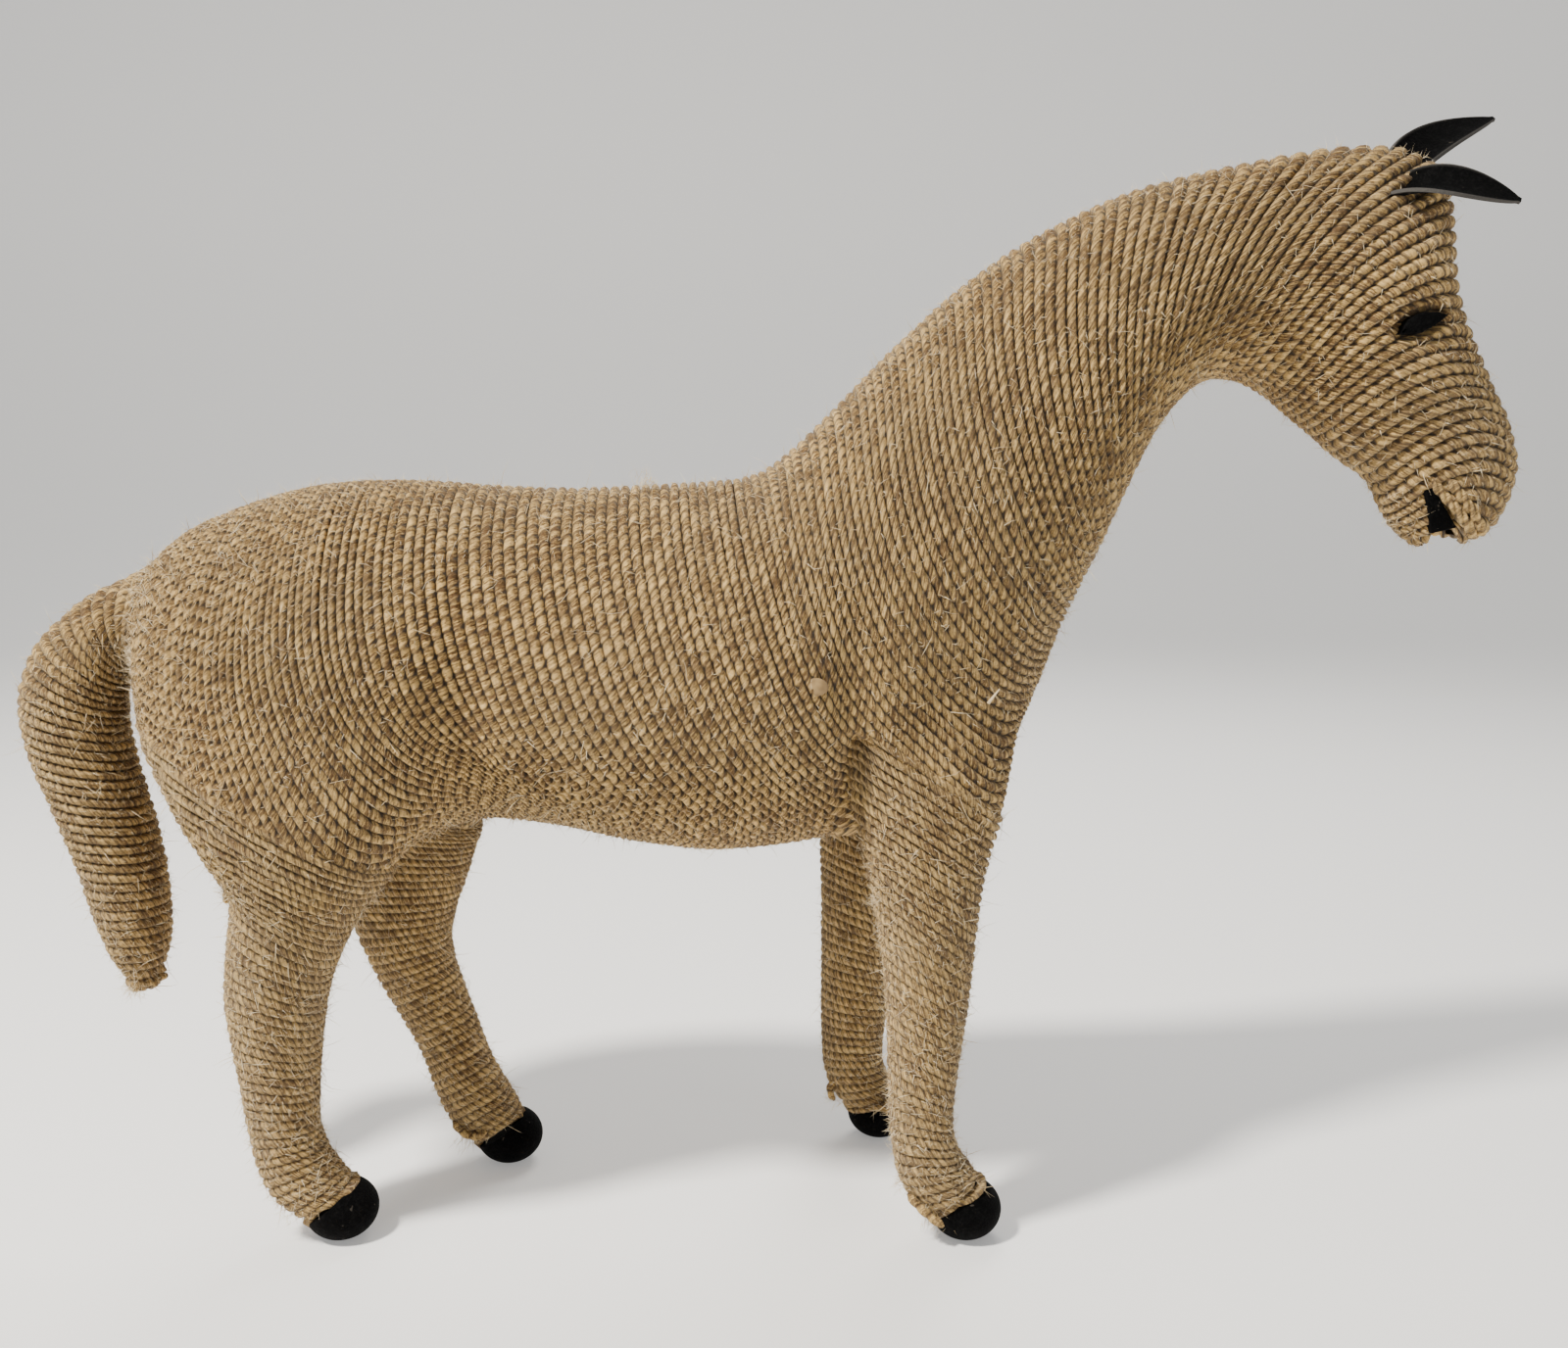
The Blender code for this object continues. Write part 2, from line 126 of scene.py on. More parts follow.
# Where each winding of the trunk runs: its station along the top of the profile, its station
# along the bottom, how far its sides bow backwards, how much it hooks forward low down, and
# how far its lowest part is swept forward.
TRUNK_PATHS = (
    (0, 0, 0, 0, 0),
    (1, 1, 2, 0, 2),
    (2, 2, 3, 0, 26),
    (3, 3, 5, 0, 50),
    (4, 4.3, 9, 2, 56),
    (5, 5.9, 13, 4, 46),
    (6, 7.3, 17, 5, 28),
    (7, 8.5, 19, 4, 12),
    (8, 9.6, 20, 2, 5),
    (9, 10.7, 20, 4, 5),
    (10, 11.75, 23, 8, 7),
    (11, 12.45, 27, 10, 8),
    (12, 12.95, 28, 9, 7),
    (13, 13.5, 24, 6, 5),
    (14, 14.1, 17, 2, 2),
    (15, 14.75, 13, 0, 0),
    (16, 15.45, 11, 0, 0),
    (17, 16.05, 11, 0, 0),
    (18, 16.65, 11, 0, 0),
    (19, 17.3, 12, 0, 0),
    (20, 18.15, 13, 0, 0),
    (21, 19.25, 13, 0, 0),
    (22, 20.75, 12, 0, 0),
    (23, 22.4, 12, 0, 0),
    (24, 23.75, 13, 0, 0),
    (25, 25, 13, 0, 0),
    (26, 26, 9, 0, 0),
    (27, 27, 3, 0, 0),
    (28, 28, 0, 0, 0),
)

# Windings of each leg: back x, back z, front x, front z, middle distance from the centre
# plane, half width.
LEGS = {
    "front_right": (
        (20.5, 208, 83.5, 165, 31, 25),
        (23, 190, 80, 151, 34, 24.5),
        (26.5, 168, 77, 134, 37, 23.5),
        (31, 145, 73.5, 114, 39.5, 21.5),
        (35.5, 121, 71.5, 95, 42, 19),
        (37, 98, 68.5, 77, 43, 17.2),
        (37.4, 75, 66, 59, 44.5, 15.6),
        (37.6, 55, 64.2, 46, 45.5, 14.7),
        (37.8, 38, 65, 35, 46, 14.7),
        (40.5, 24, 69, 29, 46, 14.8),
        (46, 15.5, 74.5, 26, 46, 14.6),
        (51.5, 9.5, 77.5, 24, 46, 14.4),
        (53.5, 8.0, 78.5, 23, 46, 13.6),
    ),
    "front_left": (
        (16, 202, 83, 175, 31, 25),
        (16, 188, 78, 162, 34, 24.5),
        (16.8, 168, 70, 145, 37, 23.5),
        (18.2, 143, 61.5, 123, 39.5, 21.5),
        (18.8, 117, 57, 101, 42, 19),
        (19, 93, 53, 82, 43, 17.2),
        (18.9, 68, 50, 61, 44.5, 15.6),
        (18.7, 48.5, 48.3, 45, 45.5, 14.7),
        (18.7, 35, 47.6, 35, 46, 14.7),
        (21, 25, 50, 28.5, 46, 14.8),
        (26.5, 17, 54.5, 24.5, 46, 14.6),
        (31.5, 12.5, 58, 20.5, 46, 14.4),
        (33.5, 11.5, 59.5, 19, 46, 13.6),
    ),
    "hind_right": (
        (-247, 204, -149.5, 143, 30, 32.5),
        (-239, 181, -157, 134, 33, 31.5),
        (-228, 161, -167, 124, 34, 28),
        (-216, 142, -173, 114, 34.5, 24.5),
        (-216.8, 122, -177.5, 101, 33.7, 21.5),
        (-218.8, 102, -180.8, 87, 33, 19.2),
        (-217.5, 84, -182.4, 74, 32.7, 17.3),
        (-214.3, 65, -183.6, 60, 32, 15.5),
        (-213, 47, -184.5, 46.5, 31.5, 14.6),
        (-211, 30, -182, 37, 31, 14.8),
        (-205, 17, -176, 30, 31, 14.8),
        (-196.5, 8.5, -170.5, 25.5, 31, 14.6),
        (-193.0, 5.0, -168.0, 22.4, 31, 14.0),
    ),
    "hind_left": (
        (-231, 200, -136, 155, 30, 32.5),
        (-219, 178, -131, 149, 33, 31.5),
        (-204, 158, -130, 142, 34, 28),
        (-194, 138, -131, 131, 34.5, 25),
        (-187.5, 119, -137, 117, 33.8, 21.8),
        (-181, 100, -142.5, 104, 33.3, 19.8),
        (-174.5, 82, -142, 92, 33, 17.4),
        (-166, 66.5, -136.5, 78.5, 32, 15.5),
        (-157.5, 51.5, -131, 62.5, 31.5, 14.6),
        (-153, 36, -126, 48, 31, 14.6),
        (-149, 23, -119.5, 37, 31, 14.8),
        (-141, 10, -113.5, 26.5, 31, 14.6),
        (-137.4, 5.6, -109.8, 22.4, 31, 14.0),
    ),
}

# Windings of the tail: inner x, inner z, outer x, outer z, middle, half width.
TAIL = (
    (-240, 232, -226, 272, 0, 15),
    (-247, 231, -238, 267.5, 0, 16.5),
    (-256, 228.5, -252.5, 263, 0, 18),
    (-259, 225, -269.5, 256.5, 0, 17.5),
    (-261, 219, -283.5, 246, 0, 18.5),
    (-262, 210, -297.5, 231.5, 0, 20),
    (-262, 198.5, -303, 209.5, 0, 21.5),
    (-258.5, 181, -300, 188, 0, 21.5),
    (-253, 161.5, -291, 165, 0, 20.5),
    (-249, 140, -283, 140.5, 0, 18.5),
    (-248, 118.5, -278, 117, 0, 16.5),
    (-250, 104, -272, 101.5, 0, 13),
    (-255, 95, -267, 93.5, 0, 8),
    (-259, 92, -263, 91.5, 0, 2.5),
)

# Seat of each hoof: x of its middle, distance and slope in degrees of the seat.
HOOVES = {
    "front_right": (69, 7.5, 37),
    "front_left": (46.5, 7.5, 16),
    "hind_right": (-177.5, 5, 39),
    "hind_left": (-119.5, 4.5, 34),
}
HOOF_HALF = (14.3, 13.6, 12.2)
HOOF_MIDDLE_HEIGHT = 11.2

EARS = {
    "ear_right": (
        (237, -19, 406.5),
        (248, -34, 413),
        (276.5, -37, 401.5),
        (0.45, 0.75, 0.50),
        (0.10, 0.45, 0.89),
    ),
    "ear_left": (
        (254, 15, 421),
        (268, 25, 440),
        (302, 31, 449),
        (-0.62, 0.50, 0.60),
        (-0.30, 0.70, 0.65),
    ),
}

EYE_AT = (236, 352.9)
EYE_TILT = math.radians(21.0)
EYE_OUTLINE = (
    (0, 0),
    (2.9, -0.9),
    (8.4, -2.6),
    (13, -1.9),
    (17.6, -0.8),
    (20.4, 0.1),
    (16.9, 2.6),
    (11.8, 4.5),
    (8.6, 4.7),
    (4.6, 3.9),
)

MOUTH_APEX = (258.1, 293.4)
MOUTH_DIRECTION = math.radians(-60.0)
MOUTH_DEPTH = 30.0
MOUTH_SPREAD = 5.4


class Socket:
    """A shader value that can be combined with ordinary arithmetic."""

    tree = None

    def __init__(self, output):
        self.output = output

    @classmethod
    def node(cls, kind, settings=None, sockets=None):
        made = cls.tree.nodes.new(kind)
        for key, value in (settings or {}).items():
            setattr(made, key, value)
        for key, value in (sockets or {}).items():
            cls.plug(made.inputs[key], value)
        return made

    @classmethod
    def plug(cls, place, value):
        if isinstance(value, Socket):
            cls.tree.links.new(value.output, place)
        else:
            place.default_value = value

    def maths(self, operation, other=None, third=None, swapped=False):
        first, second = (other, self) if swapped else (self, other)
        made = Socket.node("ShaderNodeMath", {"operation": operation})
        Socket.plug(made.inputs[0], first)
        if second is not None:
            Socket.plug(made.inputs[1], second)
        if third is not None:
            Socket.plug(made.inputs[2], third)
        return Socket(made.outputs[0])

    def __add__(self, other):
        return self.maths("ADD", other)

    __radd__ = __add__

    def __mul__(self, other):
        return self.maths("MULTIPLY", other)

    __rmul__ = __mul__

    def __sub__(self, other):
        return self.maths("SUBTRACT", other)

    def __rsub__(self, other):
        return self.maths("SUBTRACT", other, swapped=True)

    def __truediv__(self, other):
        return self.maths("DIVIDE", other)

    def power(self, exponent):
        return self.maths("POWER", exponent)

    def fraction(self):
        return self.maths("FRACT")

    def clamped(self):
        made = Socket.node("ShaderNodeClamp", None, {"Value": self})
        return Socket(made.outputs[0])

    def ramped(self, low, high):
        made = Socket.node(
            "ShaderNodeMapRange",
            {"interpolation_type": "SMOOTHSTEP"},
            {"Value": self, "From Min": low, "From Max": high},
        )
        return Socket(made.outputs[0])


def mixed(amount, first, second):
    """Colour between two colours."""
    made = Socket.node("ShaderNodeMix", {"data_type": "RGBA"})
    Socket.plug(made.inputs[0], amount)
    Socket.plug(made.inputs[6], first)
    Socket.plug(made.inputs[7], second)
    return Socket(made.outputs[2])


def noise(where, scale, detail=2.0, roughness=0.55):
    made = Socket.node(
        "ShaderNodeTexNoise",
        None,
        {"Vector": where, "Scale": scale, "Detail": detail, "Roughness": roughness},
    )
    return Socket(made.outputs["Fac"])


def combined(x, y, z):
    made = Socket.node("ShaderNodeCombineXYZ")
    for place, value in zip(made.inputs, (x, y, z)):
        Socket.plug(place, value)
    return Socket(made.outputs[0])


def begin_material(name):
    material = bpy.data.materials.new(name)
    material.use_nodes = True
    Socket.tree = material.node_tree
    return material, material.node_tree.nodes["Principled BSDF"]


# Colours of the jute: its darkest and lightest fibres, dust, the shade at a strand's edge, in a
# groove, in a valley and where these meet, and specks.
JUTE_DARK = (0.125, 0.060, 0.0165, 1)
JUTE_LIGHT = (0.870, 0.572, 0.203, 1)
JUTE_DUST = (0.42, 0.310, 0.155, 1)
JUTE_EDGE_SHADE = (0.105, 0.053, 0.016, 1)
JUTE_GROOVE_SHADE = (0.070, 0.034, 0.011, 1)
JUTE_VALLEY_SHADE = (0.060, 0.028, 0.010, 1)
JUTE_GAP_SHADE = (0.014, 0.006, 0.002, 1)
JUTE_SPECK = (0.13, 0.068, 0.025, 1)
TRUNK_VALLEY_SHADE = 0.58


def jute_material(name, lay, slant, groove_dark, valley_dark, gap_dark):
    """Twisted jute cord, on a map in metres along the cord and in windings across it.

    The last three say how strong the painted shade is in the grooves between strands, the
    valleys between windings and the gaps where they meet. Valleys low on the object have valley_dark.
    """
    material, shader = begin_material(name)
    places = Socket.node("ShaderNodeTexCoord")
    spot = Socket(places.outputs["Object"])
    split = Socket.node("ShaderNodeSeparateXYZ", None, {"Vector": Socket(places.outputs["UV"])})
    along = Socket(split.outputs[0])
    winding = Socket(split.outputs[1])
    across = (winding.fraction() - 0.5) * 2.0
    turned = across.maths("ARCSINE") * (slant / (2 * math.pi))
    crown = (1.0 - across * across).maths("MAXIMUM", 0.0).power(0.5)

    strand = (along / lay - turned) * float(STRANDS)
    lane = strand.fraction()
    strand_round = ((lane - 0.5) * 2.0).maths("ABSOLUTE")
    strand_crown = (1.0 - strand_round * strand_round * 0.96).power(0.5)

    which = winding.maths("FLOOR")
    number = strand.maths("FLOOR")
    fibre_lane = combined(along * 70.0, lane * 6.0 + turned * 6.0, which * 3.17 + number * 1.3)
    fibres = noise(fibre_lane, 1.0, 3.0, 0.65)
    hairs = noise(combined(along * 190.0 + lane * 7.0, lane * 17.0, which * 1.7), 1.0, 2.0, 0.6)
    blotch = noise(spot, 9.0, 3.0, 0.6)
    patch = noise(combined(along * 9.0, which * 0.37, number * 0.21), 1.0, 2.0, 0.5)
    speck = noise(combined(along * 300.0, lane * 3.0, which * 2.3), 1.0, 1.0, 0.5)
    fuzzy = noise(spot, 700.0, 2.0, 0.7)

    level = (fibres - 0.5) * 4.2 + (hairs - 0.5) * 3.0 + (patch - 0.5) * 1.4 + 0.46
    lump = Socket.node("ShaderNodeTexWhiteNoise", None, {"Vector": combined(number, which, 0.0)})
    level = level + (fuzzy - 0.5) * 2.0 + (Socket(lump.outputs["Value"]) - 0.5) * 0.4
    colour = mixed(level.clamped(), JUTE_DARK, JUTE_LIGHT)
    colour = mixed(blotch.ramped(0.40, 0.75) * 0.30, colour, JUTE_DUST)
    # Painted shade: the colour darkens towards each strand's edge and each winding's edge, and darker
    # still in the grooves between strands, the valleys between windings and the gaps where they meet.
    edge_shade = strand_round * strand_round * 0.52 + across * across * 0.44
    colour = mixed(edge_shade, colour, JUTE_EDGE_SHADE)
    edge = across.maths("ABSOLUTE")
    groove_shade = strand_round.ramped(0.66, 0.98)
    # The painted valley shade is valley_dark low on the object and the trunk's strength high up.
    height_up = Socket(Socket.node("ShaderNodeSeparateXYZ", None, {"Vector": spot}).outputs[2])
    high = height_up.ramped(0.09, 0.17)
    valley = edge.ramped(0.74, 1.0) * (high * (TRUNK_VALLEY_SHADE - valley_dark) + valley_dark)
    gap_shade = (edge + strand_round).ramped(1.20, 1.74)
    colour = mixed(groove_shade * groove_dark, colour, JUTE_GROOVE_SHADE)
    colour = mixed(valley, colour, JUTE_VALLEY_SHADE)
    colour = mixed(gap_shade * gap_dark, colour, JUTE_GAP_SHADE)
    colour = mixed(speck.ramped(0.70, 0.80) * 0.40, colour, JUTE_SPECK)

    height = strand_crown * crown * 0.50 + fibres * 0.60 + hairs * 0.42 + fuzzy * 0.30
    bump = Socket.node(
        "ShaderNodeBump", None, {"Strength": 1.0, "Distance": 0.0016, "Height": height}
    )
    Socket.plug(shader.inputs["Base Color"], colour)
    Socket.plug(shader.inputs["Roughness"], 0.78 + fibres * 0.12)
    Socket.plug(shader.inputs["Normal"], Socket(bump.outputs[0]))
    shader.inputs["Specular IOR Level"].default_value = 0.32
    shader.inputs["Sheen Weight"].default_value = 0.25
    shader.inputs["Sheen Roughness"].default_value = 0.5
    shader.inputs["Sheen Tint"].default_value = (0.92, 0.80, 0.60, 1)
    return material


def fibre_material(name, dark, light):
    """Plain jute: the loose fibres that stand off the cord, and what sticks to it."""
    material, shader = begin_material(name)
    places = Socket.node("ShaderNodeTexCoord")
    spot = Socket(places.outputs["Object"])
    tone = noise(spot, 160.0, 2.0, 0.5)
    colour = mixed(tone.ramped(0.3, 0.7), dark, light)
    Socket.plug(shader.inputs["Base Color"], colour)
    Socket.plug(shader.inputs["Roughness"], 0.55 + tone * 0.2)
    shader.inputs["Specular IOR Level"].default_value = 0.4
    shader.inputs["Sheen Weight"].default_value = 0.3
    return material


def felt_material():
    """Black wool felt: fine matted fibres, faint grey where it catches light, and a painted grey
    highlight along the ears' edges.
    """
    material, shader = begin_material("black_felt_look")
    places = Socket.node("ShaderNodeTexCoord")
    spot = Socket(places.outputs["Object"])
    matted = noise(spot, 900.0, 4.0, 0.7)
    lumps = noise(spot, 190.0, 3.0, 0.6)
    swirl = Socket.node(
        "ShaderNodeTexVoronoi",
        {"feature": "DISTANCE_TO_EDGE"},
        {"Vector": spot, "Scale": 700.0},
    )
    threads = Socket(swirl.outputs["Distance"])
    tone = (matted * 0.7 + lumps * 0.3).ramped(0.42, 0.72)
    colour = mixed(tone, (0.0008, 0.0008, 0.0009, 1), (0.0048, 0.0046, 0.0046, 1))
    # Painted highlight: a grey line along the ears' edges, where the felt's fuzz would catch light.
    rim = Socket(Socket.node("ShaderNodeAttribute", {"attribute_name": "rim"}).outputs["Fac"])
    colour = mixed(rim * 0.8, colour, (0.085, 0.080, 0.074, 1))
    lint = noise(spot, 420.0, 1.0, 0.5).ramped(0.735, 0.775)
    colour = mixed(lint * 0.40, colour, (0.10, 0.085, 0.07, 1))
    height = matted * 0.6 + lumps * 0.3 + threads * 0.3
    bump = Socket.node(
        "ShaderNodeBump", None, {"Strength": 0.8, "Distance": 0.0008, "Height": height}
    )
    Socket.plug(shader.inputs["Base Color"], colour)
    Socket.plug(shader.inputs["Roughness"], 0.90 - tone * 0.12)
    Socket.plug(shader.inputs["Normal"], Socket(bump.outputs[0]))
    shader.inputs["Specular IOR Level"].default_value = 0.06
    shader.inputs["Sheen Weight"].default_value = 0.012
    shader.inputs["Sheen Roughness"].default_value = 0.45
    shader.inputs["Sheen Tint"].default_value = (0.75, 0.74, 0.75, 1)
    return material


# The last three numbers give the strength of the painted shade in grooves, valleys and gaps.
JUTE = jute_material("jute_cord_look", LAY, STRAND_SLANT, 0.62, TRUNK_VALLEY_SHADE, 0.94)
JUTE_ON_LEGS = jute_material("jute_cord_leg_look", LIMB_LAY, -LIMB_SLANT, 0.42, 0.14, 0.52)
JUTE_ON_TAIL = jute_material("jute_cord_tail_look", LIMB_LAY, LIMB_SLANT, 0.45, 0.22, 0.60)

# Length of one full twist of the cord and the lean of its strands, by look. The legs' windings
# are counted downwards from the body and run the other way about, so their lean is turned over.
TWISTS = {
    JUTE.name: (LAY, STRAND_SLANT),
    JUTE_ON_LEGS.name: (LIMB_LAY, -LIMB_SLANT),
    JUTE_ON_TAIL.name: (LIMB_LAY, LIMB_SLANT),
}
FIBRE = fibre_material("jute_fibre_look", (0.56, 0.40, 0.20, 1), (0.95, 0.80, 0.52, 1))
STUCK = fibre_material("jute_bits_look", (0.17, 0.10, 0.036, 1), (0.36, 0.235, 0.095, 1))
FELT = felt_material()


def finish_piece(piece, material, node):
    """Gives a finished piece its look and ties it to the frame."""
    piece.data.materials.clear()
    piece.data.materials.append(material)
    piece.data.shade_smooth()
    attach(piece, "root")
    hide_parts(node)


def piece_from(bm, name):
    mesh = bpy.data.meshes.new(name)
    bm.to_mesh(mesh)
    bm.free()
    piece = bpy.data.objects.new(name, mesh)
    bpy.context.scene.collection.objects.link(piece)
    return piece


def coordinates(mesh):
    flat = np.empty(len(mesh.vertices) * 3)
    mesh.vertices.foreach_get("co", flat)
    return flat.reshape(-1, 3)


def unit(vectors):
    """The same vectors, one unit long."""
    return vectors / np.maximum(np.linalg.norm(vectors, axis=-1), 1e-12)[..., None]


def body_surface():
    """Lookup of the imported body, welded and rounded, for windings to lie on."""
    bm = bmesh.new()
    bm.from_mesh(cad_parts["wound_body"].data)
    bmesh.ops.remove_doubles(bm, verts=bm.verts, dist=1e-5)
    bmesh.ops.triangulate(bm, faces=bm.faces)
    for _ in range(2):
        bmesh.ops.smooth_vert(
            bm, verts=bm.verts, factor=0.4, use_axis_x=True, use_axis_y=True, use_axis_z=True
        )
    tree = BVHTree.FromBMesh(bm)
    bm.free()
    return tree


BODY = body_surface()


def curved(a, b, c, d, t):
    """The part t of the way from b to c, on a smooth curve that a and d lie on too."""
    return 0.5 * (
        2 * b
        + (c - a) * t
        + (2 * a - 5 * b + 4 * c - d) * t * t
        + (3 * b - a - 3 * c + d) * t * t * t
    )


def catmull(table, at):
    """Rows of a table at fractional places, along a smooth curve through them."""
    table = np.asarray(table, float)
    last = len(table) - 1
    at = np.clip(np.asarray(at, float), 0, last)
    base = np.minimum(at.astype(int), last - 1)
    before = table[np.maximum(base - 1, 0)]
    after = table[np.minimum(base + 2, last)]
    return curved(before, table[base], table[base + 1], after, (at - base)[..., None])


# Hollows in the trunk's sides, and below them the crown's swelling: x, z, reach along x, reach
# along z, depth or height. A hollow of negative depth stands out.
HOLLOWS = (
    (-123, 205, 13, 46, 6.0),
    (-92, 236, 26, 26, 1.5),
    (22, 200, 9, 40, 3.0),
    (41, 215, 12, 38, -2.0),
    (-190, 225, 34, 40, -2.0),
    (95, 300, 16, 26, 1.5),
)
SWELLINGS = ((262, 419, 8, 11, 4.0),)


def mounds(points, table):
    """Height at each point of the rounded mounds in a table."""
    height = np.zeros(points.shape[:-1])
    for x, z, reach_x, reach_z, high in table:
        off_x = (points[..., 0] / MM - x) / reach_x
        off_z = (points[..., 2] / MM - z) / reach_z
        height += high * MM * np.exp(-(off_x**2) - off_z**2)
    return height


class Surface:
    """A tube of rings that lies on the body, sampled by ring place and turn about the tube."""

    def __init__(self, rings, side, grow, shrink, turns=96):
        """rings: top x, z, low x, z, middle y, half width, wider above, bow, hook, sweep, in mm.

        grow and shrink: how far, in mm, the tube may leave its own ovals to meet the body.
        """
        self.turns = turns
        rings = np.asarray(rings, float)
        count = len(rings)
        grow = np.broadcast_to(grow, (count,))
        shrink = np.broadcast_to(shrink, (count,))
        theta = 2 * math.pi * np.arange(turns) / turns
        u = np.cos(theta)
        top = rings[:, 0:2]
        low = rings[:, 2:4]
        middle = (top + low) / 2
        half = (top - low) / 2
        length = np.linalg.norm(half, axis=1)[:, None]
        normal = np.stack([-half[:, 1], half[:, 0]], 1) / np.maximum(length, 1e-6)
        bow = rings[:, 7][:, None] * (1 - u**2) - rings[:, 8][:, None] * u * (1 - u**2)
        bow -= rings[:, 9][:, None] * ((1 - u) / 2) ** 5
        base = middle[:, None, :] + normal[:, None, :] * bow[..., None]
        reach_xz = half[:, None, :] * u[None, :, None]
        across = rings[:, 5][:, None] * np.sin(theta) * (1 + rings[:, 6][:, None] * u)
        origin = np.zeros((count, turns, 3))
        origin[..., 0] = base[..., 0]
        origin[..., 1] = (rings[:, 4] * side)[:, None]
        origin[..., 2] = base[..., 1]
        way = np.zeros_like(origin)
        way[..., 0] = reach_xz[..., 0]
        way[..., 1] = across
        way[..., 2] = reach_xz[..., 1]
        origin *= MM
        way *= MM
        scale = np.ones((count, turns))
        for i in range(count):
            for j in range(turns):
                size = np.linalg.norm(way[i, j])
                hit = BODY.ray_cast(Vector(origin[i, j]), Vector(way[i, j] / size), 0.2)
                if hit[0] is not None:
                    most = min(1.45, 1 + grow[i] * MM / size)
                    least = max(0.4, 1 - shrink[i] * MM / size)
                    scale[i, j] = min(max(hit[3] / size, least), most)
        for _ in range(2):
            padded = np.pad(scale, ((1, 1), (0, 0)), mode="edge")
            scale = (padded[:-2] + 2 * padded[1:-1] + padded[2:]) / 4
            scale = (np.roll(scale, 1, 1) + 2 * scale + np.roll(scale, -1, 1)) / 4
        self.points = origin + way * scale[..., None]
        self.middles = np.stack(
            [middle[:, 0] * MM, rings[:, 4] * side * MM, middle[:, 1] * MM], 1
        )
        self.count = count

    def at(self, ring, turn):
        """Points at fractional rings and at turns from 0 to 1."""
        ring = np.clip(ring, 0, self.count - 1)
        base = np.minimum(ring.astype(int), self.count - 2)
        t = (ring - base)[..., None]
        column = np.mod(turn, 1.0) * self.turns
        left = np.floor(column).astype(int)
        s = (column - left)[..., None]

        def blended(rows):
            a, b, c, d = (
                self.points[rows, np.mod(left + k, self.turns)] for k in (-1, 0, 1, 2)
            )
            return curved(a, b, c, d, s)

        before = blended(np.maximum(base - 1, 0))
        after = blended(np.minimum(base + 2, self.count - 1))
        return curved(before, blended(base), blended(base + 1), after, t)

    def spacing(self):
        """Running length along the tube, measured square to the windings."""
        step = self.points[1:] - self.points[:-1]
        ring = np.roll(self.points, -1, 1) - np.roll(self.points, 1, 1)
        ring = unit((ring[1:] + ring[:-1]) / 2)
        square = step - ring * (step * ring).sum(2)[..., None]
        size = np.linalg.norm(square, axis=2)
        return np.concatenate([[0], np.cumsum(size.mean(1))])

    def tree(self):
        """Lookup of the tube itself."""
        rows, columns = self.count, self.turns
        index = np.arange(rows * columns).reshape(rows, columns)
        after = np.roll(index, -1, 1)
        quads = np.stack([index[:-1], after[:-1], after[1:], index[1:]], -1).reshape(-1, 4)
        return BVHTree.FromPolygons(
            [Vector(p) for p in self.points.reshape(-1, 3)], quads.tolist()
        )


def smoothstep(value, low, high):
    t = np.clip((value - low) / (high - low), 0, 1)
    return t * t * (3 - 2 * t)


def strand_height(angle, phase):
    """Distance from the cord's axis to its surface, at an angle round the cord."""
    best = np.full(np.broadcast(angle, phase).shape, STRAND_RADIUS * 0.9)
    for k in range(STRANDS):
        apart = angle - phase - 2 * math.pi * k / STRANDS
        side = STRAND_OFFSET * np.sin(apart)
        inside = np.maximum(STRAND_RADIUS**2 - side**2, 0)
        reach = STRAND_OFFSET * np.cos(apart) + np.sqrt(inside)
        best = np.maximum(best, np.where(np.abs(side) < STRAND_RADIUS, reach, 0))
    return best


def outward(points, ring_step, turn_step, middles):
    """Unit normals that point away from the tube's middle."""
    normal = unit(np.cross(ring_step, turn_step))
    if ((points - middles) * normal).sum() < 0:
        normal = -normal
    return normal


def windings_along(surface, pitch):
    """Windings counted up to each ring of a tube, and how many there are in all."""
    run = surface.spacing()
    pitches = np.broadcast_to(pitch, run.shape) * MM
    steps = np.diff(run) / ((pitches[1:] + pitches[:-1]) / 2)
    counted = np.concatenate([[0], np.cumsum(steps)])
    in_all = max(int(round(counted[-1])), 3)
    return counted * (in_all / counted[-1]), in_all


def metres_along(centre, turns, columns, rng):
    """Metres along the cord at each winding and column, with the wander of its twist."""
    middle = centre[ROWS // 2 :: ROWS][:turns]
    around = np.linalg.norm(np.diff(middle, axis=1), axis=2)
    before = np.concatenate([[0], np.cumsum(around.sum(1))])[:-1]
    inside_turn = np.concatenate([np.zeros((turns, 1)), np.cumsum(around, 1)], 1)
    walk = np.cumsum(rng.normal(0, TWIST_WANDER, turns + 1))
    part = np.arange(columns + 1)[None] / columns
    return before[:, None] + inside_turn + walk[:-1, None] * (1 - part) + walk[1:, None] * part


def straying(winding, turn, turns, rng):
    """How each winding strays along its turn: smooth, and about one unit either way."""
    wobble = rng.normal(0, 1, (turns + 4, STRAY_STEPS))
    fade = np.exp(-np.arange(STRAY_STEPS // 2 + 1) / 4.0)
    smooth = np.fft.irfft(np.fft.rfft(wobble, axis=1) * fade, n=STRAY_STEPS, axis=1)
    place = (turn * STRAY_STEPS) % STRAY_STEPS
    left = place.astype(int) % STRAY_STEPS
    part = place - np.floor(place)
    right = (left + 1) % STRAY_STEPS
    return smooth[winding, left] * (1 - part) + smooth[winding, right] * part


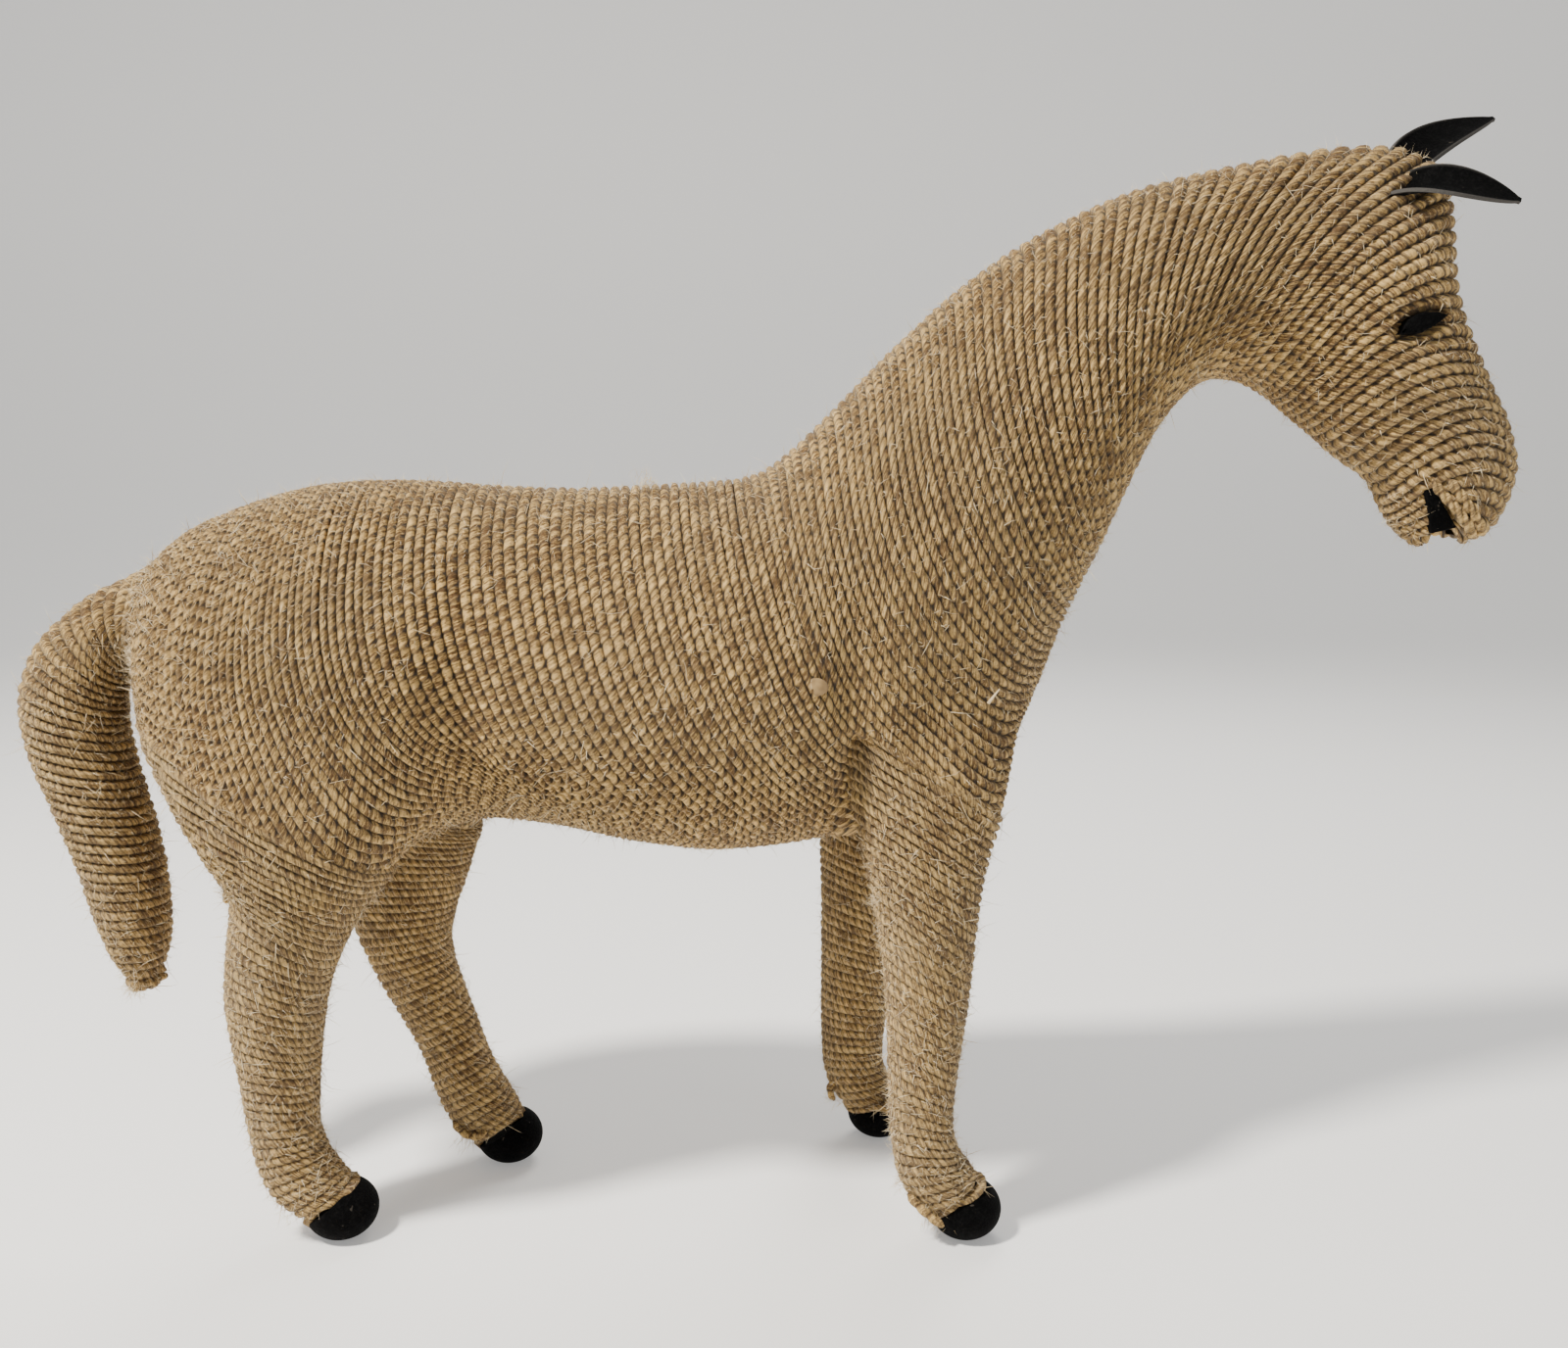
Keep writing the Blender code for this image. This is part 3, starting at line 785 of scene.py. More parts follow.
def cord_sheet(name, columns, rows, points):
    """A sheet of faces through rows of points, and the row and column of each face corner."""
    bm = bmesh.new()
    bmesh.ops.create_grid(
        bm, x_segments=columns, y_segments=rows, size=1.0, calc_uvs=False
    )
    bm.loops.layers.uv.new("cord")
    piece = piece_from(bm, name)
    mesh = piece.data
    flat = coordinates(mesh)
    j = np.rint((flat[:, 0] + 1) / 2 * columns).astype(int)
    i = np.rint((flat[:, 1] + 1) / 2 * rows).astype(int)
    mesh.vertices.foreach_set("co", points[i, j].ravel())
    corners = np.empty(len(mesh.loops), int)
    mesh.loops.foreach_get("vertex_index", corners)
    return piece, i[corners], j[corners]


def close_cord(piece, metres, across, end_sides=0):
    """Maps a sheet of cord and welds it into a tube, its open ends of so many sides closed."""
    mesh = piece.data
    maps = np.stack([metres, across], -1)
    mesh.uv_layers["cord"].data.foreach_set("uv", maps.astype(np.float32).ravel())
    bm = bmesh.new()
    bm.from_mesh(mesh)
    bmesh.ops.remove_doubles(bm, verts=bm.verts, dist=1e-7)
    if end_sides:
        rims = [edge for edge in bm.edges if edge.is_boundary]
        bmesh.ops.holes_fill(bm, edges=rims, sides=end_sides)
    bmesh.ops.recalc_face_normals(bm, faces=bm.faces)
    bm.to_mesh(mesh)
    bm.free()
    mesh.update()


WOUND = []


class Winding:
    """One length of tube as a single cord wound round and round it."""

    def __init__(
        self, name, surface, pitch, columns, span, sink, seed, tuck, valley=VALLEY_SINK, look=JUTE
    ):
        """pitch: in mm, at each ring. span: the part of the windings this piece covers."""
        counted, in_all = windings_along(surface, pitch)
        first = int(round(span[0] * in_all))
        last = int(round(span[1] * in_all))
        turns = last - first - (1 if span[1] == 1 else 0)
        rows = turns * ROWS
        i, j = np.meshgrid(np.arange(rows + 1), np.arange(columns + 1), indexing="ij")
        turn = j / columns
        wound = first + i / ROWS + turn

        def ring_of(value):
            return np.interp(value, counted, np.arange(surface.count))

        ring = ring_of(wound)
        centre = surface.at(ring, turn)
        ring_step = surface.at(ring_of(wound + 0.5), turn) - surface.at(ring_of(wound - 0.5), turn)
        turn_step = surface.at(ring, turn + 0.01) - surface.at(ring, turn - 0.01)
        nearest = np.clip(np.round(ring).astype(int), 0, surface.count - 1)
        normal = outward(centre, ring_step, turn_step, surface.middles[nearest])
        slide = (ring_step * turn_step).sum(-1) / np.maximum((turn_step**2).sum(-1), 1e-12)
        width = np.linalg.norm(ring_step - turn_step * slide[..., None], axis=-1)

        rng = np.random.default_rng(SEED + seed)
        along = metres_along(centre, turns, columns, rng)
        winding = np.minimum(i // ROWS, turns - 1)
        inner = (i % ROWS) / ROWS
        stray = straying(winding, turn, turns, rng) * (inner > 0)
        angle = np.arcsin(np.clip(2 * inner - 1, -1, 1))
        lay, slant = TWISTS[look.name]
        phase = 2 * math.pi * along[winding, j] / lay
        rounded = strand_height(angle * slant, phase) * np.cos(angle)
        roomy = 0.6 + 0.4 * np.clip(width / USUAL_WIDTH, 0.55, 1.4)
        sunk = valley + (VALLEY_SINK - valley) * smoothstep(centre[..., 2], *VALLEY_GROWS)
        hidden = np.zeros(centre.shape[:-1]) if sink is None else sink(centre)
        lift = (rounded - CORD_RADIUS) * (sunk / CORD_RADIUS) * roomy
        lift += CREST + STRAY_UP * stray - hidden
        lift -= np.where((i == 0) | (i == rows), tuck, 0.0)
        lift -= mounds(centre, HOLLOWS) * np.abs(normal[..., 1])
        lift += mounds(centre, SWELLINGS)
        points = centre + normal * lift[..., None]
        points += unit(ring_step) * (STRAY_SIDEWAYS * stray)[..., None]
        points[: rows + 1 - ROWS, columns] = points[ROWS:, 0]

        self.rows, self.columns = rows, columns
        self.points, self.normal, self.turn_step = points, normal, turn_step
        self.lift, self.hidden = lift, hidden
        piece, at_i, at_j = cord_sheet(name, columns, rows, points)
        at_i = at_i.reshape(-1, 4)
        at_j = at_j.reshape(-1, 4)
        own = np.minimum(at_i.min(1) // ROWS, turns - 1)[:, None]
        metres = along[np.broadcast_to(own, at_j.shape), at_j]
        shift = seed * MAP_STEP
        low = at_i.min(1)[:, None] // ROWS + shift
        across = np.clip(at_i / ROWS + shift, low + 0.002, low + 0.998)
        close_cord(piece, metres, across)
        finish_piece(piece, look, "wound_body")
        WOUND.append(self)


def trunk_ring_table(steps):
    """Rings of the trunk along its windings' paths, several to each station."""
    places = np.linspace(0, len(TRUNK_PATHS) - 1, steps)
    paths = catmull(TRUNK_PATHS, places)
    top = catmull(TRUNK, paths[:, 0])
    low = catmull(TRUNK, paths[:, 1])
    both = catmull(TRUNK, (paths[:, 0] + paths[:, 1]) / 2)
    blank = np.zeros(steps)
    return np.stack(
        [
            top[:, 0], top[:, 1], low[:, 2], low[:, 3],
            blank, both[:, 4], both[:, 5], paths[:, 2], paths[:, 3], paths[:, 4],
        ],
        1,
    )


def limb_ring_table(rows, steps, bow=0.0):
    """Rings of a limb, from one ring above its table, which lies within the trunk."""
    rows = np.asarray(rows, float)
    rows = np.concatenate([[2 * rows[0] - rows[1]], rows])
    fine = catmull(rows, np.linspace(0, len(rows) - 1, steps))
    blank = np.zeros(steps)
    return np.stack(
        [
            fine[:, 0], fine[:, 1], fine[:, 2], fine[:, 3],
            fine[:, 4], fine[:, 5], blank, blank + bow, blank, blank,
        ],
        1,
    )


def side_of(name):
    return 1 if name.endswith("left") else -1


LEG_SURFACES = {
    name: Surface(limb_ring_table(rows, 64, -1.5), side_of(name), 6.0, 5.0, 64)
    for name, rows in LEGS.items()
}
TAIL_SURFACE = Surface(limb_ring_table(TAIL, 56), 1, 3.0, 4.0, 64)
TRUNK_PLACES = np.linspace(0, len(TRUNK_PATHS) - 1, 170)
TRUNK_SHRINK = 45.0 - 36.0 * smoothstep(TRUNK_PLACES, 14.0, 18.0)
TRUNK_SHRINK -= 8.0 * smoothstep(TRUNK_PLACES, 21.5, 23.5)
TRUNK_GROW = 2.0 + 22.0 * smoothstep(TRUNK_PLACES, 1.0, 3.0) * (
    1 - smoothstep(TRUNK_PLACES, 12.5, 14.5)
)
TRUNK_SURFACE = Surface(trunk_ring_table(170), 1, TRUNK_GROW, TRUNK_SHRINK, 120)


def below_ring(points, rows):
    """How far points lie below the plane of a limb's first ring, in metres."""
    back_x, back_z, front_x, front_z = (value * MM for value in rows[0][:4])
    way = np.array([front_x - back_x, front_z - back_z])
    way /= np.linalg.norm(way)
    down = np.array([way[1], -way[0]])
    apart = points[..., [0, 2]] - np.array([back_x, back_z])
    return apart @ down


def leg_sink(points):
    """How far the trunk's windings sink where a leg's own windings take over."""
    total = np.zeros(points.shape[:-1])
    for name, rows in LEGS.items():
        side = side_of(name)
        below = below_ring(points, rows)
        x_low, x_high = rows[0][0] - LEG_MARGIN, rows[0][2] + LEG_MARGIN
        near = (
            (below > -0.001)
            & (points[..., 1] * side > 0.002)
            & (points[..., 0] > x_low * MM)
            & (points[..., 0] < x_high * MM)
        )
        if not near.any():
            continue
        tree = LEG_SURFACES[name].tree()
        chosen = points[near]
        flat = np.empty(len(chosen))
        for index, point in enumerate(chosen):
            found = tree.find_nearest(Vector(point), 0.02)
            flat[index] = found[3] if found[0] is not None else 1.0
        amount = (1 - smoothstep(flat, 0.003, 0.009)) * smoothstep(below[near], 0.001, 0.005)
        total[near] = np.maximum(total[near], amount * OVERLAP_SINK)
    return total


def leg_top_sink(name):
    """How far a leg's windings sink above the ring where they take over from the trunk's."""

    def sink(points):
        below = below_ring(points, LEGS[name])
        raised = 0.6 * MM * np.exp(-((below / 0.008) ** 2))
        return smoothstep(-below, 0.0015, 0.0055) * OVERLAP_SINK - raised

    return sink


def mouth_sink(points):
    """Depth of the slit between the lips."""
    x = points[..., 0] / MM - MOUTH_APEX[0]
    z = points[..., 2] / MM - MOUTH_APEX[1]
    along = x * math.cos(MOUTH_DIRECTION) + z * math.sin(MOUTH_DIRECTION)
    off = np.abs(-x * math.sin(MOUTH_DIRECTION) + z * math.cos(MOUTH_DIRECTION))
    half = 1.3 + np.clip(along / MOUTH_DEPTH, 0, 1) * MOUTH_SPREAD
    inside = smoothstep(half - off, -1.0, 0.8) * smoothstep(along, 0.0, 2.5)
    return inside * 6.0 * MM


def eye_sink(points):
    """A shallow bed for the felt of the eye."""
    x = points[..., 0] / MM - EYE_AT[0]
    z = points[..., 2] / MM - EYE_AT[1]
    along = x * math.cos(EYE_TILT) + z * math.sin(EYE_TILT)
    above = -x * math.sin(EYE_TILT) + z * math.cos(EYE_TILT)
    shape = ((along - 10.2) / 11.4) ** 2 + ((above - 1.1) / 4.9) ** 2
    return (1 - smoothstep(shape, 0.85, 1.50)) * 2.9 * MM


def head_sink(points):
    return np.maximum(mouth_sink(points), eye_sink(points))


TRUNK_PARTS = (
    ("wound_rump", (0.0, 0.25), 286, leg_sink, 1),
    ("wound_barrel", (0.25, 0.48), 350, leg_sink, 2),
    ("wound_neck", (0.48, 0.79), 310, leg_sink, 3),
    ("wound_head", (0.79, 1.0), 250, head_sink, 4),
)


def build_windings():
    share = 1.0
    places = np.arange(TRUNK_SURFACE.count) / (TRUNK_SURFACE.count - 1)
    pitch = np.full(len(places), PITCH_AT_RUMP)
    for more, low, high in PITCH_GROWS:
        pitch += more * smoothstep(places, low, high)
    pitch -= 0.55 * smoothstep(places, 0.28, 0.36) * (1 - smoothstep(places, 0.46, 0.58))
    for name, span, columns, sink, seed in TRUNK_PARTS:
        columns = int(columns * share)
        Winding(name, TRUNK_SURFACE, pitch, columns, span, sink, seed, TRUNK_TUCK)
    for seed, (name, surface) in enumerate(LEG_SURFACES.items(), 5):
        columns = int(LEG_COLUMNS * share)
        sink = leg_top_sink(name)
        Winding(
            "wound_leg_" + name, surface, LEG_PITCH, columns, (0.0, 1.0), sink, seed, END_TUCK,
            LIMB_VALLEY_SINK, JUTE_ON_LEGS,
        )
    Winding(
        "wound_tail", TAIL_SURFACE, TAIL_PITCH, int(TAIL_COLUMNS * share), (0.0, 1.0), None, 9,
        END_TUCK, LIMB_VALLEY_SINK, JUTE_ON_TAIL,
    )


build_windings()


def seat_frame(name):
    x, distance, slope = HOOVES[name]
    slope = math.radians(slope)
    middle_y = LEGS[name][-1][4] * side_of(name)
    middle = Vector((x, middle_y, HOOF_MIDDLE_HEIGHT)) * MM
    normal = Vector((math.sin(slope), 0, -math.cos(slope)))
    return middle, middle - normal * distance * MM, normal


def slice_off(bm, point, normal):
    """Cuts away what lies beyond a plane and closes the cut."""
    shape = bm.verts[:] + bm.edges[:] + bm.faces[:]
    done = bmesh.ops.bisect_plane(
        bm, geom=shape, plane_co=point, plane_no=normal, clear_outer=True
    )
    rim = [part for part in done["geom_cut"] if isinstance(part, bmesh.types.BMEdge)]
    bmesh.ops.contextual_create(bm, geom=rim)
    return rim


def build_hoof(name):
    middle, seat, normal = seat_frame(name)
    bm = bmesh.new()
    bmesh.ops.create_icosphere(bm, subdivisions=5, radius=1.0)
    bmesh.ops.scale(bm, vec=[value * MM for value in HOOF_HALF], verts=bm.verts)
    bmesh.ops.translate(bm, vec=middle, verts=bm.verts)
    slice_off(bm, Vector((0, 0, 0)), Vector((0, 0, -1)))
    slice_off(bm, seat, -normal)
    bmesh.ops.remove_doubles(bm, verts=bm.verts, dist=1e-6)
    bmesh.ops.recalc_face_normals(bm, faces=bm.faces)
    piece = piece_from(bm, "felt_hoof_" + name)
    finish_piece(piece, FELT, "hoof_" + name)
    piece.data.set_sharp_from_angle(angle=math.radians(50))


for hoof_name in HOOVES:
    build_hoof(hoof_name)


def ear_point(name, along, across):
    """A point of the cupped leaf: along from root 0 to tip 1, across from edge -1 to edge 1."""
    root, bend, tip, root_way, tip_way = (Vector(values) for values in EARS[name])
    centre = root * (1 - along) ** 2 + bend * 2 * along * (1 - along) + tip * along**2
    forward = (bend - root) * (1 - along) + (tip - bend) * along
    forward.normalize()
    way = root_way * (1 - along) + tip_way * along
    way = (way - way.dot(forward) * forward).normalized()
    hollow = forward.cross(way)
    fullness = max(math.sin(math.pi * (0.30 + 0.70 * along)) ** 0.7, 0.10)
    half_width = 10 * fullness
    curl = 7.5 * (1 + 2.5 * along)
    angle = across * half_width / curl
    cupped = way * curl * math.sin(angle) + hollow * curl * (1 - math.cos(angle))
    return (centre + cupped) * MM


def build_ear(name):
    """A curled leaf of felt, its cut edge rounded."""
    bm = bmesh.new()
    bmesh.ops.create_grid(bm, x_segments=44, y_segments=28, size=1.0)
    # The rim layer marks where the felt takes its painted grey edge highlight.
    rim = bm.verts.layers.float.new("rim")
    for vert in bm.verts:
        across = vert.co.y
        vert[rim] = float(smoothstep(abs(across), 0.90, 1.0))
        vert.co = ear_point(name, (vert.co.x + 1) / 2, across)
    piece = piece_from(bm, "felt_" + name)
    solidify = piece.modifiers.new("felt", "SOLIDIFY")
    solidify.thickness = 1.5 * MM
    solidify.offset = 0.0
    bevel = piece.modifiers.new("soft edge", "BEVEL")
    bevel.width = 0.45 * MM
    bevel.segments = 3
    bevel.limit_method = "ANGLE"
    bevel.angle_limit = math.radians(50)
    finish_piece(piece, FELT, name)


for ear_name in EARS:
    build_ear(ear_name)


def build_eye(name):
    """A raised almond of felt on the side of the head."""
    side = side_of(name)
    turn = Matrix.Rotation(-EYE_TILT, 4, "Y")
    bm = bmesh.new()
    bmesh.ops.create_circle(bm, cap_ends=True, radius=1.0, segments=60)
    table = np.asarray(EYE_OUTLINE + EYE_OUTLINE[:1], float)
    steps = np.linspace(0, len(EYE_OUTLINE), 60, endpoint=False)
    rim = np.stack([np.interp(steps, np.arange(len(table)), table[:, k]) for k in (0, 1)], 1)
    place = Matrix.Translation((EYE_AT[0] * MM, side * 24.3 * MM, EYE_AT[1] * MM))
    for vert, (along, above) in zip(bm.verts, rim):
        vert.co = place @ turn @ (Vector((along, 0, above)) * MM)
    grown = bmesh.ops.extrude_face_region(bm, geom=bm.faces[:])
    raised = [part for part in grown["geom"] if isinstance(part, bmesh.types.BMVert)]
    bmesh.ops.translate(bm, vec=Vector((0, side * 6.2 * MM, 0)), verts=raised)
    edges = [edge for edge in bm.edges if all(vert in raised for vert in edge.verts)]
    bmesh.ops.bevel(
        bm, geom=edges, offset=0.9 * MM, segments=4, profile=0.5, affect="EDGES", material=-1
    )
    bmesh.ops.recalc_face_normals(bm, faces=bm.faces)
    piece = piece_from(bm, "felt_" + name)
    finish_piece(piece, FELT, name)
    piece.data.set_sharp_from_angle(angle=math.radians(40))


for eye_name in ("eye_right", "eye_left"):
    build_eye(eye_name)


def build_mouth():
    """The black felt that fills the slit between the lips."""
    bm = bmesh.new()
    bmesh.ops.create_cube(bm, size=1.0)
    for vert in bm.verts:
        far = vert.co.x > 0
        half = (MOUTH_SPREAD * 18.0 / MOUTH_DEPTH + 1.9 if far else 1.6) * MM
        x = (18.9 + math.copysign(1.6, vert.co.z) if far else -0.5) * MM
        width = (12.5 if far else 17.5) * MM
        vert.co = Vector((x, math.copysign(width, vert.co.y), math.copysign(half, vert.co.z)))
    bmesh.ops.rotate(bm, matrix=Matrix.Rotation(-MOUTH_DIRECTION, 3, "Y"), verts=bm.verts)
    bmesh.ops.translate(
        bm, vec=Vector((MOUTH_APEX[0], 0, MOUTH_APEX[1])) * MM, verts=bm.verts
    )
    bmesh.ops.bevel(
        bm,
        geom=bm.edges[:],
        offset=0.6 * MM,
        segments=3,
        profile=0.5,
        affect="EDGES",
        material=-1,
    )
    bmesh.ops.recalc_face_normals(bm, faces=bm.faces)
    piece = piece_from(bm, "felt_mouth_lining")
    finish_piece(piece, FELT, "mouth_lining")


build_mouth()

# Cords laid along the slit, over the windings of the upper lip: x, z from slit to nose.
LIP_CORDS = (
    ((258.4, 297.0), (262.2, 292.8), (266.8, 288.0), (271.8, 282.6), (276.4, 277.8), (279.0, 275.0)),
    ((263.8, 297.6), (268.2, 292.8), (273.0, 287.4), (277.8, 282.2), (282.2, 277.8), (284.6, 275.6)),
)


def on_side(path, side):
    """Points in mm on the side of the head, at the x and z given."""
    spots = []
    for x, z in path:
        hit = BODY.ray_cast(Vector((x * MM, side * 0.2, z * MM)), Vector((0, -side, 0)), 0.3)
        y = hit[0].y / MM if hit[0] is not None else side * 8.0
        spots.append((x, y - side * 0.5, z))
    return spots


def build_short_cord(name, spots, side, girth=1.0):
    """A short run of the same twisted cord through the given points."""
    along_count, round_count = ((56, 18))
    spots = np.asarray(spots) * MM
    places = np.linspace(0, len(spots) - 1, along_count + 1)
    centre = catmull(spots, places)
    forward = np.gradient(centre, axis=0)
    forward /= np.linalg.norm(forward, axis=1)[:, None]
    aside = np.cross(forward, (0, side, 0))
    aside /= np.linalg.norm(aside, axis=1)[:, None]
    outside = np.cross(aside, forward)
    metres = np.concatenate([[0], np.cumsum(np.linalg.norm(np.diff(centre, axis=0), axis=1))])
    angle = 2 * math.pi * np.arange(round_count + 1) / round_count
    phase = 2 * math.pi * metres / LAY
    reach = strand_height(angle[None], phase[:, None])
    ends = np.minimum(places, places[-1] - places)
    reach = reach * girth * (0.35 + 0.65 * smoothstep(ends, 0.0, 0.45))[:, None]
    points = (
        centre[:, None]
        + aside[:, None] * (reach * np.sin(angle))[..., None]
        + outside[:, None] * (reach * np.cos(angle))[..., None]
    )
    piece, at_i, at_j = cord_sheet(name, round_count, along_count, points)
    off = np.abs((at_j / round_count + 0.5) % 1.0 - 0.5) * 2
    across = np.clip(0.5 + 0.5 * off * np.sign(at_j - 0.1), 0.02, 0.98) + SHORT_CORD_MAP
    close_cord(piece, metres[at_i], across, round_count + 2)
    finish_piece(piece, JUTE, "wound_body")


for lip_side, side_name in ((-1, "right"), (1, "left")):
    for lip_index, lip_path in enumerate(LIP_CORDS, 1):
        lip_name = "lip_cord_" + side_name + "_" + str(lip_index)
        build_short_cord(lip_name, on_side(lip_path, lip_side), lip_side)

# Loose ends of cord at the heels and on the back of a hock.
CORD_ENDS = {
    "cord_end_front_right": (
        (45.0, -53.0, 21.0),
        (48.9, -55.5, 16.9),
        (53.6, -57.5, 13.1),
        (58.5, -58.0, 9.5),
    ),
    "cord_end_front_left": ((25.5, 40.0, 29.0), (23.2, 40.0, 23.8), (25.3, 40.0, 18.4)),
    "cord_end_hind_left": (
        (-142.3, 19.5, 22.8),
        (-138.2, 19.5, 17.4),
        (-132.2, 18.0, 16.1),
        (-127.5, 18.0, 18.7),
    ),
    "cord_end_hock": ((-210.6, -38.0, 144.1), (-213.7, -38.0, 141.5), (-214.2, -38.0, 137.6)),
}

for end_name, end_path in CORD_ENDS.items():
    build_short_cord(end_name, end_path, -1, 0.8)


def spike_mesh(bent):
    """One fibre, one unit long: a thin spike, with a joint halfway where it is to bend."""
    bm = bmesh.new()
    bmesh.ops.create_cone(
        bm, cap_ends=True, segments=3, radius1=1.0, radius2=0.0, depth=1.0
    )
    bmesh.ops.translate(bm, vec=(0, 0, 0.5), verts=bm.verts)
    bmesh.ops.remove_doubles(bm, verts=bm.verts, dist=1e-4)
    if bent:
        long_edges = [edge for edge in bm.edges if edge.calc_length() > 0.99]
        long_edges = [edge for edge in long_edges if edge.verts[0].co.z != edge.verts[1].co.z]
        bmesh.ops.subdivide_edges(bm, edges=long_edges, cuts=1)
        middle = [vert for vert in bm.verts if 0.3 < vert.co.z < 0.7]
        bmesh.ops.scale(bm, vec=(1.5, 1.5, 1.0), verts=middle)
    bmesh.ops.triangulate(bm, faces=bm.faces)
    source = bpy.data.meshes.new("fibre")
    bm.to_mesh(source)
    bm.free()
    return source


def build_fibres(name, start, way, size, girth, curl, rng, bent=True):
    """Many fibres as one piece: each is the same spike, placed, aimed and bent."""
    source = spike_mesh(bent)
    shape = coordinates(source)
    count = len(start)
    bend = np.cross(way, rng.normal(0, 1, (count, 3)))
    bend /= np.linalg.norm(bend, axis=1)[:, None]
    third = np.cross(way, bend)
    arc = (shape[:, 2] ** 2)[None, :, None] * (size * curl)[:, None, None]
    points = (
        start[:, None, :]
        + way[:, None, :] * (shape[:, 2][None, :, None] * size[:, None, None])
        + bend[:, None, :] * (shape[:, 0][None, :, None] * girth[:, None, None] + arc)
        + third[:, None, :] * (shape[:, 1][None, :, None] * girth[:, None, None])
    )
    points[..., 2] = np.maximum(points[..., 2], 0.2 * MM)
    faces = np.array([face.vertices[:] for face in source.polygons])
    shift = (np.arange(count) * len(shape))[:, None, None]
    mesh = bpy.data.meshes.new(name)
    mesh.from_pydata(points.reshape(-1, 3), [], (faces[None] + shift).reshape(-1, 3))
    piece = bpy.data.objects.new(name, mesh)
    bpy.context.scene.collection.objects.link(piece)
    finish_piece(piece, FIBRE, "wound_body")
    bpy.data.meshes.remove(source)


def build_fuzz(name, windings, shares, reach, bent, seed):
    """Loose fibres all over the windings. reach: shortest and longest, in mm."""
    rng = np.random.default_rng(SEED + seed)
    starts, normals, ways = [], [], []
    for winding, count in zip(windings, shares):
        i = rng.integers(2, winding.rows - 2, count)
        j = rng.integers(0, winding.columns, count)
        keep = (winding.hidden[i, j] < 0.2 * MM) & (winding.lift[i, j] > -1.2 * MM)
        i, j = i[keep], j[keep]
        starts.append(winding.points[i, j])
        normals.append(winding.normal[i, j])
        along = winding.turn_step[i, j]
        ways.append(along / np.maximum(np.linalg.norm(along, axis=1), 1e-9)[:, None])
    start = np.concatenate(starts)
    normal = np.concatenate(normals)
    along = np.concatenate(ways)
    count = len(start)
    across = np.cross(normal, along)
    lean = rng.normal(0, 1, (count, 2))
    lift = rng.uniform(0.10, 0.90, count)
    way = along * (lean[:, :1] * 1.1) + across * lean[:, 1:] * 0.8 + normal * lift[:, None]
    way /= np.linalg.norm(way, axis=1)[:, None]
    size = (reach[0] + (reach[1] - reach[0]) * rng.random(count) ** 2.2) * MM
    girth = rng.uniform(0.105, 0.175, count) * MM * (0.8 if bent else 1.0)
    curl = rng.uniform(0.05, 0.55, count)
    build_fibres(name, start - normal * 0.3 * MM, way, size, girth, curl, rng, bent)


build_fuzz("short_fibres_trunk", WOUND[:4], (7200, 7200, 7600, 3600), (2, 5.5), False, 31)
build_fuzz("short_fibres_limbs", WOUND[4:], (4400, 3000, 4400, 3000, 3200), (2, 5), False, 32)
build_fuzz(
    "long_fibres", WOUND, (1400, 1300, 1500, 850, 900, 550, 900, 550, 700), (4, 12), True, 33
)

# Frayed places: x, y, z, spread, direction x, y, z, fibres, length of the fibres.
FRAYS = (
    (-54.7, -13.2, 294.2, 5.0, 0.3, -0.3, 0.9, 90, 5.0),
    (-212.5, -40, 143, 3.0, -0.9, -0.4, 0.1, 70, 4.0),
    (54, -52, 10, 4.0, -0.2, -0.3, -0.9, 60, 4.5),
    (42.8, -51.8, 24.6, 3.0, -0.8, -0.4, -0.3, 30, 4.0),
    (25.8, 40.5, 21.6, 4.0, -0.4, -0.3, -0.6, 50, 5.0),
    (-137.3, 27.2, 11.8, 4.0, -0.4, -0.4, -0.6, 50, 5.0),
    (-197, -34, 12, 5.0, -0.4, -0.5, -0.5, 40, 4.0),
    (34.5, -48, 138, 3.0, -0.9, -0.3, 0.0, 40, 4.5),
    (-262, -8, 95, 3.5, 0.1, -0.4, -0.9, 50, 4.5),
    (244.8, -29.5, 350.2, 4.0, 0.1, -0.1, 0.98, 2, 8.0),
    (256.5, 13.5, 420.6, 6.0, 0.5, -0.3, 0.8, 60, 9.0),
    (261.5, -18.8, 409.2, 5.0, 0.5, -0.6, 0.1, 22, 8.0),
    (117, -25.8, 265.6, 4.0, 0.8, -0.4, -0.1, 20, 6.0),
)


def build_frays():
    rng = np.random.default_rng(SEED + 40)
    starts, ways, sizes = [], [], []
    for x, y, z, spread, way_x, way_y, way_z, count, length in FRAYS:
        starts.append(np.array([x, y, z]) * MM + rng.normal(0, spread / 2, (count, 3)) * MM)
        way = np.array([way_x, way_y, way_z]) + rng.normal(0, 0.55, (count, 3))
        ways.append(way / np.linalg.norm(way, axis=1)[:, None])
        sizes.append(rng.uniform(0.5, 1.3, count) * length * MM)
    start, way, size = (np.concatenate(part) for part in (starts, ways, sizes))
    count = len(start)
    girth = rng.uniform(0.06, 0.11, count) * MM
    build_fibres("frayed_ends", start, way, size, girth, rng.uniform(0.2, 0.9, count), rng)


build_frays()


